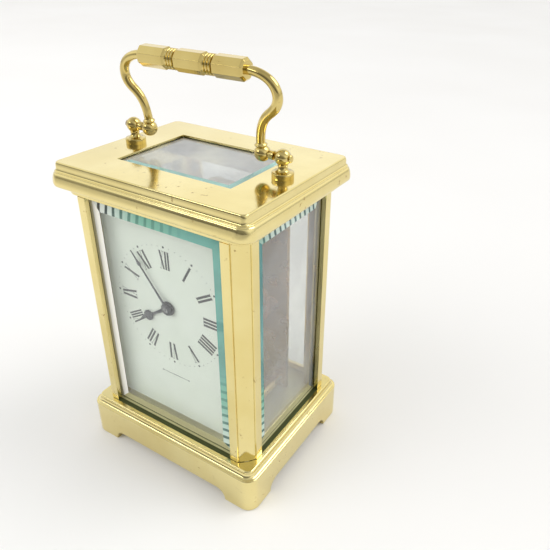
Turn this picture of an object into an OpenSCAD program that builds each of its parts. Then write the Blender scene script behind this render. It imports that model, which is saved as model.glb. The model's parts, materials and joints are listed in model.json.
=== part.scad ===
// Carriage clock with a moulded brass case, bevelled glass on all sides, a folding handle,
// a glazed rear door and an eight-day movement with a lever platform escapement.
// Origin: centre of the footprint, on the ground. The dial faces -Y and +Z is up.

/* [Case] */
// Width over the corner pillars
case_w = 78; // [77:0.5:80]
// Depth over the corner pillars
case_d = 61.3; // [61:0.1:63]
// Width of a pillar's flat, from the corner line to the glass
pillar_w = 8.8; // [8.6:0.1:9.2]
// Size of the canted corner of a pillar
pillar_cant = 5.2; // [4:0.1:5.4]
// Visible height of the pillars
pillar_h = 94.6; // [94.6:0.1:96]
// Width of the base
base_w = 86; // [86:0.5:90]
// Depth of the base
base_d = 69.8; // [69.8:0.1:72]
// Height of the base
base_h = 19; // [18.8:0.1:19.2]
// Plan radius of the base and top corners
corner_r = 5; // [4.8:0.1:6]
// Height of the arches between the feet
arch_h = 4.6; // [4:0.1:5]
// Width of the top's lower tier
top_w = 87.8; // [87.8:0.2:90]
// Depth of the top's lower tier
top_d = 69; // [69:0.2:71]
// Width of the window in the top
top_window_w = 50.6; // [48:0.2:51]
// Depth of the window in the top
top_window_d = 35.2; // [34:0.2:36]

/* [Glass] */
// Thickness of the case glasses
glass_t = 2.4; // [2:0.1:2.5]
// Thickness left at the edge of a bevelled glass
glass_edge_t = 1.4; // [1:0.1:1.6]
// Width of the bevel that shows inside the frame
bevel_w = 4.6; // [3:0.1:5]
// How far the glass lies behind the case surface
glass_recess = 2; // [1.8:0.1:2.2]

/* [Handle] */
// Distance of each handle post from the middle
post_x = 33.6; // [33:0.1:35]
// Height of the handle pivot above the top
pivot_h = 6.9; // [6.5:0.1:8]
// Distance from the pivot to the middle of the grip
handle_r = 27; // [26:0.5:30]
// Forward lean of the handle where it stands
handle_lean = 6; // [0:0.5:8]
// Size of the octagonal grip across its corners
grip_size = 7.7; // [6:0.1:7.9]
// Length of the grip between the arms
grip_len = 44.6; // [44:0.1:46]

/* [Dial] */
// Height of the hands' centre above the ground
centre_z = 74.8; // [74:0.1:75]
// Width of the dial plate
dial_w = 60; // [56:0.5:60]
// Height of the dial's lower edge above the ground
dial_low = 22.5; // [21:0.5:24]
// Height of the dial's upper edge above the ground
dial_high = 109; // [107:0.5:111]
// Hour that the hands show
shown_hour = 7; // [0:1:11]
// Minute that the hands show
shown_minute = 53.9; // [0:0.1:59.9]

/* [Hidden] */

$fn = 64;

// Colours
brass = "#d8c070";
old_brass = "#b89a50";
steel = "#9a9ea3";
blued = "#3a4560";
enamel = "#e8e9de";
clear = [0.75, 0.88, 0.86, 0.35];
ruby = "#b03050";

// Small clearances: between fixed pieces, and between a pivot and its hole
fit_gap = 0.03;
pivot_gap = 0.05;
// What a cutter sticks out past the piece it cuts
over = 1;
// Steps of a rounded corner in a plan outline
arc_steps = 8;

// Heights of the case
pillar_top = base_h + pillar_h;
base_floor = 5.5;
base_wall = 4.5;
top_h = 11.8;
top_z = pillar_top + top_h;
pivot_z = top_z + pivot_h;

// Pillars
cant_step = 0.6;
groove_depth = 1.5;
groove_w = glass_t + 0.2;
groove_in = glass_recess - 0.1;
open_w = case_w - 2 * pillar_w;
open_d = case_d - 2 * pillar_w;
pane_tuck = groove_depth - 0.2;
top_bevel_w = 3.3;
pane_low = base_h - 0.9;
pane_high = pillar_top + 0.9;
tenon_r = 1.5;
tenon_h = 3;
case_screw_r = 1.5;
screw_inset = 4.6;
foot_w = 13;
foot_d = 12.9;

// Top window
ledge = 1.9;
ledge_z = top_z - 0.7;

// Rear door
door_t = 2.8;
door_gap = 0.3;
door_y = case_d / 2 - 0.15 - door_t / 2;
hinge_x = -open_w / 2 + 1.8;
door_bar = 3.6;
door_low = base_h + door_gap;
door_high = pillar_top - door_gap;
hinge_pin_r = 0.8;
hinge_hole = 2.6;
knob_z = 66;

// Handle
ball_r = 2.9;
ball_x = 25.5;
post_ball_r = 2.85;
pivot_pin_r = 0.85;
arm_r = 1.75;

// Movement, front to back
dial_y = -23.5;
dial_t = 1.2;
hour_hand_y = [dial_y - 0.8, dial_y - 0.35];
minute_hand_y = [hour_hand_y[0] - 0.65, hour_hand_y[0] - 0.25];
collet_t = 0.65;
hand_end = minute_hand_y[0] - collet_t;
front_y = -17;
plate_t = 1.8;
back_y = 15;
inner_front = front_y + plate_t;
plate_w = 50;
plate_screw_x = 21.5;
plate_screw_r = 1.3;
plate_low = base_h;
plate_high = 106;
square_end = 22.5;
arbor_r = 0.9;
pivot_r = 0.5;

// Tooth counts
barrel_teeth = 84;
intermediate_leaves = 12;
intermediate_teeth = 64;
centre_leaves = 12;
centre_teeth = 64;
third_leaves = 8;
third_teeth = 60;
contrate_leaves = 8;
contrate_teeth = 60;
escape_leaves = 6;
escape_teeth = 15;
cannon_leaves = 12;
minute_teeth = 36;
minute_leaves = 10;
hour_teeth = 40;
ratchet_teeth = 24;

// Modules: pitch diameter over tooth count
great_m = 0.405;
intermediate_m = 0.36;
centre_m = 0.36;
third_m = 0.32;
cannon_m = 0.35;
hour_m = cannon_m * (cannon_leaves + minute_teeth) / (minute_leaves + hour_teeth);
contrate_r = 8.9;

function mesh_distance(a, b, m) = (a + b) * m / 2;
function polar(a) = [cos(a), sin(a)];
function bearing(p, q) = atan2(q[1] - p[1], q[0] - p[0]);
// The point at distances rp from p and rq from q, on the left of the way from p to q
function meeting(p, q, rp, rq) =
    let (d = norm(q - p), u = (q - p) / d, a = (rp * rp - rq * rq + d * d) / (2 * d))
        p + a * u + sqrt(rp * rp - a * a) * [-u[1], u[0]];

// Arbors: [x, z] of each axis between the plates
centre_at = [0, centre_z];
intermediate_at = centre_at
    + mesh_distance(intermediate_teeth, centre_leaves, intermediate_m) * polar(-49);
barrel_at = intermediate_at
    + mesh_distance(barrel_teeth, intermediate_leaves, great_m) * polar(-136);
contrate_at = centre_at + [-9, 20];
third_at = meeting(centre_at, contrate_at, mesh_distance(centre_teeth, third_leaves, centre_m),
    mesh_distance(third_teeth, contrate_leaves, third_m));
minute_at = centre_at + mesh_distance(cannon_leaves, minute_teeth, cannon_m) * polar(-40);
click_at = barrel_at + 9.2 * polar(60);
train_at = [centre_at, intermediate_at, barrel_at, contrate_at, third_at];

// Levels of the wheels along Y: front and back face of each
centre_wheel_y = [-12.6, -11.5];
third_wheel_y = [-8.6, -7.6];
great_wheel_y = [6, 7.6];
intermediate_wheel_y = [9.2, 10.3];
barrel_front = -10;
contrate_tip_y = -0.6;
cannon_y = [-18.7, -17.5];
hour_wheel_y = [-20.7, -19.6];
ratchet_y = [17.1, 18.3];

// Platform, seen from above: [x, y] of the escape wheel, lever and balance
platform_z = plate_high;
platform_t = 1.6;
platform_top = platform_z + platform_t;
escape_at = [contrate_at[0], 0];
lever_at = escape_at + [5.8, 0];
balance_at = lever_at + [8.2, 0];
escape_z = platform_top + 2;
escape_r = 4.2;
lever_t = 0.5;
balance_z = platform_top + 5.2;
balance_r = 7.4;
balance_t = 1;
train_cock_z = platform_top + 3.6;
cock_z = platform_top + 8;
cock_t = 1.2;

// Fixings
plate_pillar_at = [for (x = [-plate_screw_x, plate_screw_x], z = [24.5, 101]) [x, z]];
dial_foot_at = [for (x = [-20, 20], z = [34, 96]) [x, z]];
platform_screw_at = [for (x = [-17, 17], s = [-1, 1]) [x, s * 14]];

// ---------- shared shapes ----------

// A block whose four sides carry one moulding. The profile lists [inset, z] upwards.
module moulded_block(w, d, r, profile) {
    low = profile[0][1];
    high = profile[len(profile) - 1][1];
    side = concat([for (p = profile) [r - p[0], p[1]]], [[0, high], [0, low]]);
    translate([-w / 2 + r, -d / 2 + r, low])
        cube([w - 2 * r, d - 2 * r, high - low]);
    for (sx = [-1, 1], sy = [-1, 1])
        translate([sx * (w / 2 - r), sy * (d / 2 - r), 0])
            rotate(sx > 0 ? (sy > 0 ? 0 : -90) : (sy > 0 ? 90 : 180))
                rotate_extrude(angle = 90)
                    polygon(side);
    for (t = [0, 180])
        rotate(t) {
            translate([w / 2 - r, d / 2 - r, 0])
                rotate([90, 0, 0])
                    linear_extrude(d - 2 * r)
                        polygon(side);
            translate([-w / 2 + r, d / 2 - r, 0])
                rotate([90, 0, 90])
                    linear_extrude(w - 2 * r)
                        polygon(side);
        }
}

// A flat outline standing in the XZ plane at p, from y0 back to y1
module upright(p, y) {
    translate([p[0], y[1], p[1]])
        rotate([90, 0, 0])
            linear_extrude(y[1] - y[0])
                children();
}

// A rod along Y at p, from y0 back to y1
module rod(p, y0, y1, r) {
    translate([p[0], y1, p[1]])
        rotate([90, 0, 0])
            cylinder(h = y1 - y0, r = r);
}

// A rod along X at height z
module cross_rod(x0, x1, z, r) {
    translate([x0, 0, z])
        rotate([0, 90, 0])
            cylinder(h = x1 - x0, r = r);
}

// Teeth: tip and root lie this many modules from the pitch circle,
// and half a tooth's width is this share of the pitch
tooth_tip = 0.7;
tooth_root = 1.05;
tip_share = 0.08;
root_share = 0.19;

// Gear outline with a tooth at angle a
function gear(n, m, a) = [
    for (i = [0:n - 1], k = [-1, -0.5, 0.5, 1])
        let (tip = abs(k) < 1, share = tip ? tip_share : root_share)
            m * (n / 2 + (tip ? tooth_tip : -tooth_root))
                * polar(a + 360 / n * (i + sign(k) * share))
];

// Flat wheel with crossings: teeth, rim, spokes, hub and bore
module crossed_wheel(n, m, a, bore, hub, spokes) {
    rim = m * (n / 2 - tooth_root) - 1.3;
    difference() {
        polygon(gear(n, m, a));
        crossings(rim, hub, spokes);
        circle(bore);
    }
}

// The windows that are cut out between the spokes of a wheel
module crossings(rim, hub, spokes, spoke_w = 1) {
    difference() {
        circle(rim);
        circle(hub);
        for (i = [0:spokes - 1])
            rotate(i * 360 / spokes)
                translate([0, -spoke_w / 2])
                    square([rim + over, spoke_w]);
    }
}

// Steel arbor between the plates, with pivots in both and a pinion of n leaves
module pinion_arbor(p, n, m, a, y) {
    color(steel) {
        rod(p, inner_front + 0.1, back_y - 0.1, arbor_r);
        rod(p, front_y, inner_front + 0.1, pivot_r);
        rod(p, back_y - 0.1, back_y + plate_t, pivot_r);
        upright(p, y)
            polygon(gear(n, m, a));
    }
}

// Slotted cheese-head screw pointing down: the head stands on z
module screw_down(x, y, z, shank_r, shank_l, head_r, head_h) {
    translate([x, y, z]) {
        difference() {
            cylinder(h = head_h, r = head_r);
            translate([-head_r - over, -0.2, head_h * 0.5])
                cube([2 * (head_r + over), 0.4, head_h]);
        }
        translate([0, 0, -shank_l])
            cylinder(h = shank_l, r = shank_r);
    }
}

// The same screw pointing up, with its head under z
module screw_up(x, y, z, shank_r, shank_l, head_r, head_h) {
    translate([x, y, z])
        mirror([0, 0, 1])
            screw_down(0, 0, 0, shank_r, shank_l, head_r, head_h);
}

// Screw along Y: s = -1 has its head in front, s = 1 behind
module screw_y(p, y, s, shank_r, shank_l, head_r, head_h) {
    translate([p[0], y, p[1]])
        rotate([-90 * s, 0, 0])
            screw_down(0, 0, 0, shank_r, shank_l, head_r, head_h);
}

// Glass pane lying in XY, bevelled along the edges of its upper face
module bevelled_pane(w, d, bevel) {
    drop = glass_t - glass_edge_t;
    difference() {
        translate([-w / 2, -d / 2, 0])
            cube([w, d, glass_t]);
        for (t = [0, 180])
            rotate(t) {
                bevel_cut(w, d, bevel, drop);
                rotate(90)
                    bevel_cut(d, w, bevel, drop);
            }
    }
}

// Wedge that takes the bevel off one long edge
module bevel_cut(length, width, bevel, drop) {
    grow = over / bevel;
    translate([-length / 2 - over, width / 2 - bevel, glass_t])
        rotate([90, 0, 90])
            linear_extrude(length + 2 * over)
                polygon([[0, 0], [bevel * (1 + grow), -drop * (1 + grow)],
                    [bevel * (1 + grow), over]]);
}

// ---------- case ----------

// The base's moulding: plain face, cove and a rounded upper edge
base_profile = concat(
    [[0.5, 0], [0, 0.5], [0, 15.55], [0.1, 15.8], [0.35, 15.95]],
    [for (a = [15:15:90]) [0.35 + 1.8 * sin(a), 18 - 2.05 * cos(a)]],
    [[2.15, 18.35]],
    [for (a = [30:30:90]) [2.8 - 0.65 * cos(a), base_h - 0.65 + 0.65 * sin(a)]]);

module base() {
    inner_w = base_w - 2 * base_wall;
    inner_d = base_d - 2 * base_wall;
    color(brass)
        difference() {
            moulded_block(base_w, base_d, corner_r, base_profile);
            translate([-inner_w / 2, -inner_d / 2, -over])
                cube([inner_w, inner_d, base_h - base_floor + over]);
            foot_arch(base_w / 2 - foot_w, base_d);
            rotate(90)
                foot_arch(base_d / 2 - foot_d, base_w);
            pane_grooves(pane_low - 0.1, base_h + over);
            for (sx = [-1, 1], sy = [-1, 1])
                translate([sx * (case_w / 2 - screw_inset), sy * (case_d / 2 - screw_inset), 0])
                    cylinder(h = base_h + over, r = case_screw_r + pivot_gap);
            for (s = [-1, 1])
                translate([s * plate_screw_x, 0, 0])
                    cylinder(h = base_h + over, r = plate_screw_r + pivot_gap);
            translate([hinge_x, door_y, base_h - hinge_hole])
                cylinder(h = hinge_hole + over, r = hinge_pin_r + pivot_gap);
        }
}

// Space between two feet, with round ends, cut right through along Y
module foot_arch(half, depth) {
    translate([0, depth / 2 + over, 0])
        rotate([90, 0, 0])
            linear_extrude(depth + 2 * over) {
                translate([-half + arch_h, -over])
                    square([2 * (half - arch_h), arch_h + over]);
                for (s = [-1, 1])
                    translate([s * (half - arch_h), 0])
                        circle(arch_h);
            }
}

// Grooves for the front and side glasses, in the base or in the top
module pane_grooves(z0, z1) {
    length_x = open_w + 2 * groove_depth;
    length_y = open_d + 2 * groove_depth;
    translate([-length_x / 2, -case_d / 2 + groove_in, z0])
        cube([length_x, groove_w, z1 - z0]);
    for (s = [-1, 1])
        translate([s * (case_w / 2 - groove_in - groove_w / 2) - groove_w / 2, -length_y / 2, z0])
            cube([groove_w, length_y, z1 - z0]);
}

// The top's moulding: flared neck, overhanging rounded fascia, small bead and a set-back slab
top_profile = [
    for (p = [[3.7, 0], [3.7, 1.6], [3.55, 2.2], [3.2, 2.7], [2.8, 2.95], [1.1, 3], [0.6, 3.1],
            [0.25, 3.4], [0.08, 3.9], [0, 4.6], [0, 5.6], [0.05, 6.4], [0.13, 7], [0.25, 7.45],
            [0.42, 7.75], [0.65, 7.95], [1, 8], [1, 8.25], [1.15, 8.55], [1.4, 8.65],
            [1.65, 8.7], [1.95, 8.9], [2.2, 9.3], [2.2, 11.3], [2.3, 11.6], [2.55, top_h]])
        [p[0], pillar_top + p[1]]
];

module top_plate() {
    well_w = top_window_w + 2 * ledge;
    well_d = top_window_d + 2 * ledge;
    color(brass)
        difference() {
            moulded_block(top_w, top_d, corner_r, top_profile);
            translate([-top_window_w / 2, -top_window_d / 2, pillar_top])
                cube([top_window_w, top_window_d, top_h + over]);
            translate([-well_w / 2, -well_d / 2, pillar_top - over])
                cube([well_w, well_d, ledge_z - pillar_top + over]);
            pane_grooves(pillar_top - over, pane_high + 0.1);
            for (sx = [-1, 1], sy = [-1, 1])
                translate([sx * (case_w / 2 - screw_inset), sy * (case_d / 2 - screw_inset),
                        pillar_top - over])
                    cylinder(h = tenon_h + 0.2 + over, r = tenon_r + fit_gap);
            for (s = [-1, 1])
                translate([s * post_x, 0, top_z - 5])
                    cylinder(h = 5 + over, r = 1.2 + fit_gap);
            translate([hinge_x, door_y, pillar_top - over])
                cylinder(h = hinge_hole + over, r = hinge_pin_r + pivot_gap);
        }
}

// Pillar in its own corner: u runs inwards along X, v inwards along Y
module pillar(sx, sy) {
    c = pillar_cant;
    color(brass)
        translate([sx * case_w / 2, sy * case_d / 2, 0])
            mirror([sx > 0 ? 1 : 0, 0, 0])
                mirror([0, sy > 0 ? 1 : 0, 0]) {
                    difference() {
                        translate([0, 0, base_h])
                            linear_extrude(pillar_h)
                                pillar_plan(c, sy < 0);
                        translate([screw_inset, screw_inset, base_h - over])
                            cylinder(h = 9 + over, r = case_screw_r + fit_gap);
                    }
                    translate([screw_inset, screw_inset, pillar_top])
                        cylinder(h = tenon_h, r = tenon_r);
                }
}

module pillar_plan(c, front) {
    difference() {
        polygon([[c, 0], [pillar_w, 0], [pillar_w, pillar_w], [0, pillar_w], [0, c],
            [cant_step, c], [c, cant_step]]);
        translate([groove_in, pillar_w - groove_depth])
            square([groove_w, groove_depth + over]);
        if (front)
            translate([pillar_w - groove_depth, groove_in])
                square([groove_depth + over, groove_w]);
    }
}

module pillar_front_left() {
    pillar(-1, -1);
}

module pillar_front_right() {
    pillar(1, -1);
}

module pillar_rear_left() {
    pillar(-1, 1);
}

module pillar_rear_right() {
    pillar(1, 1);
}

// Upright case glass of the given width, bevelled side outwards along -Y
module case_pane(w) {
    color(clear)
        translate([0, glass_t, (pane_low + pane_high) / 2])
            rotate([90, 0, 0])
                bevelled_pane(w, pane_high - pane_low, bevel_w + pane_tuck);
}

module front_glass() {
    translate([0, -case_d / 2 + glass_recess, 0])
        case_pane(open_w + 2 * pane_tuck);
}

module side_glass(s) {
    translate([s * (case_w / 2 - glass_recess), 0, 0])
        rotate(s * 90)
            case_pane(open_d + 2 * pane_tuck);
}

module left_glass() {
    side_glass(-1);
}

module right_glass() {
    side_glass(1);
}

module top_glass() {
    color(clear)
        translate([0, 0, ledge_z - glass_t])
            bevelled_pane(top_window_w + 2 * ledge - 0.4, top_window_d + 2 * ledge - 0.4,
                top_bevel_w + ledge - 0.2);
}

module case_screws() {
    color(steel)
        for (sx = [-1, 1], sy = [-1, 1])
            screw_up(sx * (case_w / 2 - screw_inset), sy * (case_d / 2 - screw_inset),
                base_h - base_floor, case_screw_r, base_floor + 8, 2.7, 1.8);
}

module movement_screws() {
    color(steel)
        for (s = [-1, 1])
            screw_up(s * plate_screw_x, 0, base_h - base_floor, plate_screw_r, base_floor + 5.4, 2.4, 1.6);
}

// ---------- rear door ----------

module door_frame() {
    far = open_w / 2 - door_gap;
    near = hinge_x;
    window_w = 2 * (far - door_bar);
    color(brass)
        difference() {
            union() {
                translate([near, door_y - door_t / 2, door_low])
                    cube([far - near, door_t, door_high - door_low]);
                translate([near, door_y, door_low])
                    cylinder(h = door_high - door_low, r = door_t / 2);
            }
            translate([-window_w / 2, door_y - door_t, door_low + door_bar])
                cube([window_w, 2 * door_t, door_high - door_low - 2 * door_bar]);
            translate([-window_w / 2 - 1, door_y - 1, door_low + door_bar - 1])
                cube([window_w + 2, 2, door_high - door_low - 2 * door_bar + 2]);
            for (z = [door_low - over, door_high - 4])
                translate([hinge_x, door_y, z])
                    cylinder(h = 4 + over, r = hinge_pin_r + fit_gap);
            rod([far - door_bar / 2, knob_z], 0, case_d, 0.75);
        }
}

module door_glass() {
    w = 2 * (open_w / 2 - door_gap - door_bar) + 1.8;
    h = door_high - door_low - 2 * door_bar + 1.8;
    color(clear)
        translate([-w / 2, door_y - 0.9, (door_low + door_high - h) / 2])
            cube([w, 1.8, h]);
}

// Turned pull with a shank that is riveted through the frame
module door_knob() {
    y = door_y + door_t / 2;
    profile = [[0, -door_t - 0.4], [1.2, -door_t - 0.4], [1.2, -door_t], [0.7, -door_t],
        [0.7, 0], [1.6, 0], [1.6, 0.4], [0.8, 0.9], [0.8, 1.5], [1.5, 1.9], [1.8, 2.5],
        [1.5, 3.1], [0.8, 3.5], [0, 3.6]];
    color(brass)
        translate([open_w / 2 - door_gap - door_bar / 2, y, knob_z])
            rotate([-90, 0, 0])
                rotate_extrude()
                    polygon(profile);
}

module door_pins() {
    color(steel) {
        translate([hinge_x, door_y, base_h - 2.3])
            cylinder(h = 5.5, r = hinge_pin_r);
        translate([hinge_x, door_y, pillar_top - 3.2])
            cylinder(h = 5.5, r = hinge_pin_r);
    }
}

// ---------- handle ----------

module handle_posts() {
    ring = [[0, 0], [3.85, 0], [3.85, 1.8], [3.6, 2.1], [2.6, 2.35], [1.9, 2.8], [1.6, 3.6],
        [1.7, 5], [0, 5]];
    color(brass)
        for (s = [-1, 1])
            difference() {
                translate([s * post_x, 0, top_z]) {
                    rotate_extrude()
                        polygon(ring);
                    translate([0, 0, pivot_h])
                        sphere(post_ball_r);
                    translate([0, 0, -4.8])
                        cylinder(h = 5, r = 1.2);
                }
                cross_rod(min(s * (post_x - 5), s * (post_x + 5)),
                    max(s * (post_x - 5), s * (post_x + 5)), pivot_z, pivot_pin_r + pivot_gap);
            }
}

// Everything that swings stands upright in its own frame and leans about the pivot
module leaning() {
    translate([0, 0, pivot_z])
        rotate([handle_lean, 0, 0])
            translate([0, 0, -pivot_z])
                children();
}

// Grip along X: three octagonal lengths between turned rings
module handle_grip() {
    r = grip_size / 2;
    end = grip_len / 2;
    ring_at = 8;
    ring_half = 1.8;
    ring_r = 3.5;
    z = pivot_z + handle_r;
    color(brass)
        leaning() {
            for (s = [-1, 1]) {
                octagon_bar(min(s * (ring_at + ring_half), s * (end - 1)),
                    max(s * (ring_at + ring_half), s * (end - 1)), z, r);
                octagon_bar(min(s * (end - 1), s * end), max(s * (end - 1), s * end), z, r - 0.6);
                cross_rod(s * ring_at - ring_half, s * ring_at + ring_half, z, 2.7);
                for (d = [-1.2, 0, 1.2])
                    cross_rod(s * ring_at + d - 0.4, s * ring_at + d + 0.4, z, ring_r);
            }
            octagon_bar(-ring_at + ring_half, ring_at - ring_half, z, r);
        }
}

module octagon_bar(x0, x1, z, r) {
    translate([x0, 0, z])
        rotate([0, 90, 0])
            rotate(22.5)
                cylinder(h = x1 - x0, r = r, $fn = 8);
}

// Centre line of an arm, as [x, height above the pivot]: three smooth curves end to end
function bezier(a, b, c, d, t) =
    pow(1 - t, 3) * a + 3 * t * pow(1 - t, 2) * b + 3 * t * t * (1 - t) * c + pow(t, 3) * d;
arm_curves = [
    [[25.1, 2], [25.1, 9.4], [27, 12.2], [29.6, 14.2]],
    [[29.6, 14.2], [31.4, 15.6], [32.9, 17.2], [32.85, 19.8]],
    [[32.85, 19.8], [32.8, 24.2], [28, 27], [22.3, 27]]];
arm_steps = 7;
arm_sides = 12;
arm_path = concat([for (c = arm_curves, i = [0:arm_steps - 1])
    bezier(c[0], c[1], c[2], c[3], i / arm_steps)], [arm_curves[2][3]]);

// Round bar swept along the arm's centre line in the XZ plane
module arm_bar() {
    n = len(arm_path);
    points = [
        for (i = [0:n - 1])
            let (p = arm_path[i],
                t = arm_path[min(i + 1, n - 1)] - arm_path[max(i - 1, 0)],
                u = [t[1], -t[0]] / norm(t))
                for (k = [0:arm_sides - 1])
                    let (a = 360 * k / arm_sides)
                        [p[0] + arm_r * cos(a) * u[0], arm_r * sin(a), p[1] + arm_r * cos(a) * u[1]]
    ];
    sides = [
        for (i = [0:n - 2], k = [0:arm_sides - 1])
            let (j = (k + 1) % arm_sides)
                [i * arm_sides + k, (i + 1) * arm_sides + k, (i + 1) * arm_sides + j,
                    i * arm_sides + j]
    ];
    ends = [[for (k = [0:arm_sides - 1]) k],
        [for (k = [arm_sides - 1:-1:0]) (n - 1) * arm_sides + k]];
    polyhedron(points, concat(sides, ends));
}

module handle_arm(s) {
    color(brass)
        leaning()
            mirror([s < 0 ? 1 : 0, 0, 0]) {
                translate([0, 0, pivot_z])
                    arm_bar();
                difference() {
                    union() {
                        translate([ball_x, 0, pivot_z])
                            sphere(ball_r);
                        cross_rod(ball_x, post_x - post_ball_r - 0.15, pivot_z, 1.6);
                    }
                    cross_rod(ball_x - 5, post_x, pivot_z, pivot_pin_r + fit_gap);
                }
            }
}

module handle_arm_left() {
    handle_arm(-1);
}

module handle_arm_right() {
    handle_arm(1);
}

module handle_pivot_screws() {
    far = post_x + post_ball_r;
    color(steel)
        leaning()
            for (s = [-1, 1])
                mirror([s < 0 ? 1 : 0, 0, 0]) {
                    cross_rod(ball_x - ball_r + 0.3, far + 0.1, pivot_z, pivot_pin_r);
                    cross_rod(far + 0.1, far + 0.9, pivot_z, 1.5);
                }
}

// ---------- dial and hands ----------

module dial() {
    color(enamel)
        difference() {
            translate([-dial_w / 2, dial_y, dial_low])
                cube([dial_w, dial_t, dial_high - dial_low]);
            rod(centre_at, dial_y - over, dial_y + dial_t + over, 2.2);
        }
    color(old_brass)
        for (p = dial_foot_at)
            rod(p, dial_y + dial_t, inner_front, 0.9);
}

// Right side of a spade that starts on its stem and ends in a fine point
function spade_side(length, at, r) =
    concat([for (a = [15 : 12 : 135]) [r * sin(a), at - r * cos(a)]], [[0.12, length]]);

// Blued hand that points up, with an eye, a slim stem and a spade
module hand_outline(length, spade_at, spade_r, eye_r, bore) {
    side = spade_side(length, spade_at, spade_r);
    difference() {
        union() {
            circle(eye_r);
            polygon([[-0.45, bore + 0.3], [0.45, bore + 0.3], [0.28, spade_at],
                [-0.28, spade_at]]);
            polygon(concat(side, [for (i = [len(side) - 1 : -1 : 0]) [-side[i][0], side[i][1]]]));
        }
        circle(bore);
    }
}

hour_angle = -30 * (shown_hour + shown_minute / 60);
minute_angle = -6 * shown_minute;

module hour_hand() {
    color(blued)
        upright(centre_at, hour_hand_y)
            rotate(hour_angle)
                hand_outline(17.6, 12.6, 2.4, 2.9, 1.6 + fit_gap);
}

module minute_hand() {
    color(blued)
        upright(centre_at, minute_hand_y)
            rotate(minute_angle)
                hand_outline(25.4, 19.6, 1.15, 2.2, 0.9 + fit_gap);
}

// Domed collet that holds the hands on
module hand_collet() {
    color(brass)
        translate([0, minute_hand_y[0], centre_z])
            rotate([90, 0, 0])
                rotate_extrude()
                    polygon([[0.9 + fit_gap, 0], [2.5, 0], [2.4, 0.25], [1.9, 0.5],
                        [1.2, collet_t], [0.9 + fit_gap, collet_t]]);
}

module cannon_pinion() {
    a = bearing(centre_at, minute_at);
    color(steel)
        difference() {
            union() {
                upright(centre_at, cannon_y)
                    polygon(gear(cannon_leaves, cannon_m, a));
                rod(centre_at, hand_end + 0.1, cannon_y[1], 0.9);
            }
            rod(centre_at, hand_end - over, cannon_y[1] + over, pivot_r + fit_gap);
        }
}

module minute_wheel() {
    a = bearing(centre_at, minute_at) + 180;
    b = bearing(centre_at, minute_at) + 180 + 180 / minute_leaves;
    color(brass)
        upright(minute_at, cannon_y)
            crossed_wheel(minute_teeth, cannon_m, a + 180 / minute_teeth, 0.7 + pivot_gap, 2.2, 4);
    color(brass)
        upright(minute_at, [hour_wheel_y[0] - 0.2, cannon_y[0]])
            difference() {
                polygon(gear(minute_leaves, hour_m, b));
                circle(0.7 + pivot_gap);
            }
}

module hour_wheel() {
    a = bearing(centre_at, minute_at);
    color(brass) {
        upright(centre_at, hour_wheel_y)
            crossed_wheel(hour_teeth, hour_m, a, 0.9 + pivot_gap, 2.4, 4);
        upright(centre_at, [hour_hand_y[0] - 0.1, hour_wheel_y[0]])
            difference() {
                circle(1.6);
                circle(0.9 + pivot_gap);
            }
    }
}

// ---------- movement frame ----------

module plate(y) {
    difference() {
        translate([-plate_w / 2, y, plate_low])
            cube([plate_w, plate_t, plate_high - plate_low]);
        for (p = train_at)
            rod(p, y - over, y + plate_t + over, (p == barrel_at ? 1.6 : pivot_r) + pivot_gap);
        for (p = plate_pillar_at)
            rod(p, y - over, y + plate_t + over, 1.1 + pivot_gap);
        for (p = platform_screw_at)
            if (sign(p[1]) == sign(y))
                translate([p[0], y + plate_t / 2, plate_high - 5])
                    cylinder(h = 5 + over, r = 0.6 + fit_gap);
    }
}

module front_plate() {
    color(old_brass)
        difference() {
            plate(front_y);
            for (p = dial_foot_at)
                rod(p, front_y - over, inner_front + over, 0.9 + fit_gap);
        }
    color(old_brass)
        rod(minute_at, -21.2, front_y, 0.7);
}

module back_plate() {
    color(old_brass)
        difference() {
            plate(back_y);
            rod(click_at, back_y - over, back_y + plate_t + over, 0.8 + pivot_gap);
        }
}

module plate_pillars() {
    color(old_brass)
        for (p = plate_pillar_at)
            difference() {
                translate([p[0], inner_front, p[1]])
                    rotate([-90, 0, 0])
                        rotate_extrude()
                            polygon(pillar_turning(back_y - inner_front));
                for (y = [inner_front - over, back_y - 7])
                    rod(p, y, y + 7 + over, 1.1 + fit_gap);
                if (p[1] < centre_z)
                    translate([p[0], 0, 0])
                        cylinder(h = p[1] + 0.5, r = 1.3 + fit_gap);
            }
}

// Profile of a turned pillar: collars at both ends and a slightly slimmer shank
function pillar_turning(length) = [[0, 0], [2.6, 0], [2.6, 1.6], [2.1, 2.2], [2.1, length - 2.2],
    [2.6, length - 1.6], [2.6, length], [0, length]];

module plate_screws() {
    color(blued)
        for (p = plate_pillar_at) {
            screw_y(p, front_y, -1, 1.1, 6, 2.1, 1.1);
            screw_y(p, back_y + plate_t, 1, 1.1, 6, 2.1, 1.1);
        }
}

// ---------- power: barrel, winding, click ----------

module barrel() {
    a = bearing(barrel_at, intermediate_at);
    color(brass) {
        upright(barrel_at, great_wheel_y)
            difference() {
                polygon(gear(barrel_teeth, great_m, a));
                circle(2 + pivot_gap);
            }
        upright(barrel_at, [barrel_front, great_wheel_y[0]])
            difference() {
                circle(15.6);
                circle(14.4);
            }
    }
}

module barrel_cap() {
    color(brass)
        upright(barrel_at, [barrel_front, barrel_front + 1.2])
            difference() {
                circle(14.4 - fit_gap);
                circle(2 + pivot_gap);
            }
}

module barrel_arbor() {
    color(steel) {
        rod(barrel_at, front_y, inner_front, 1.6);
        rod(barrel_at, inner_front, barrel_front + 1.4, 2);
        rod(barrel_at, barrel_front + 1.4, great_wheel_y[0] - 0.2, 4);
        rod(barrel_at, great_wheel_y[0] - 0.2, back_y, 2);
        rod(barrel_at, back_y, ratchet_y[1], 1.6);
        square_end_at(barrel_at, ratchet_y[1], 2.2);
    }
}

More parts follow.
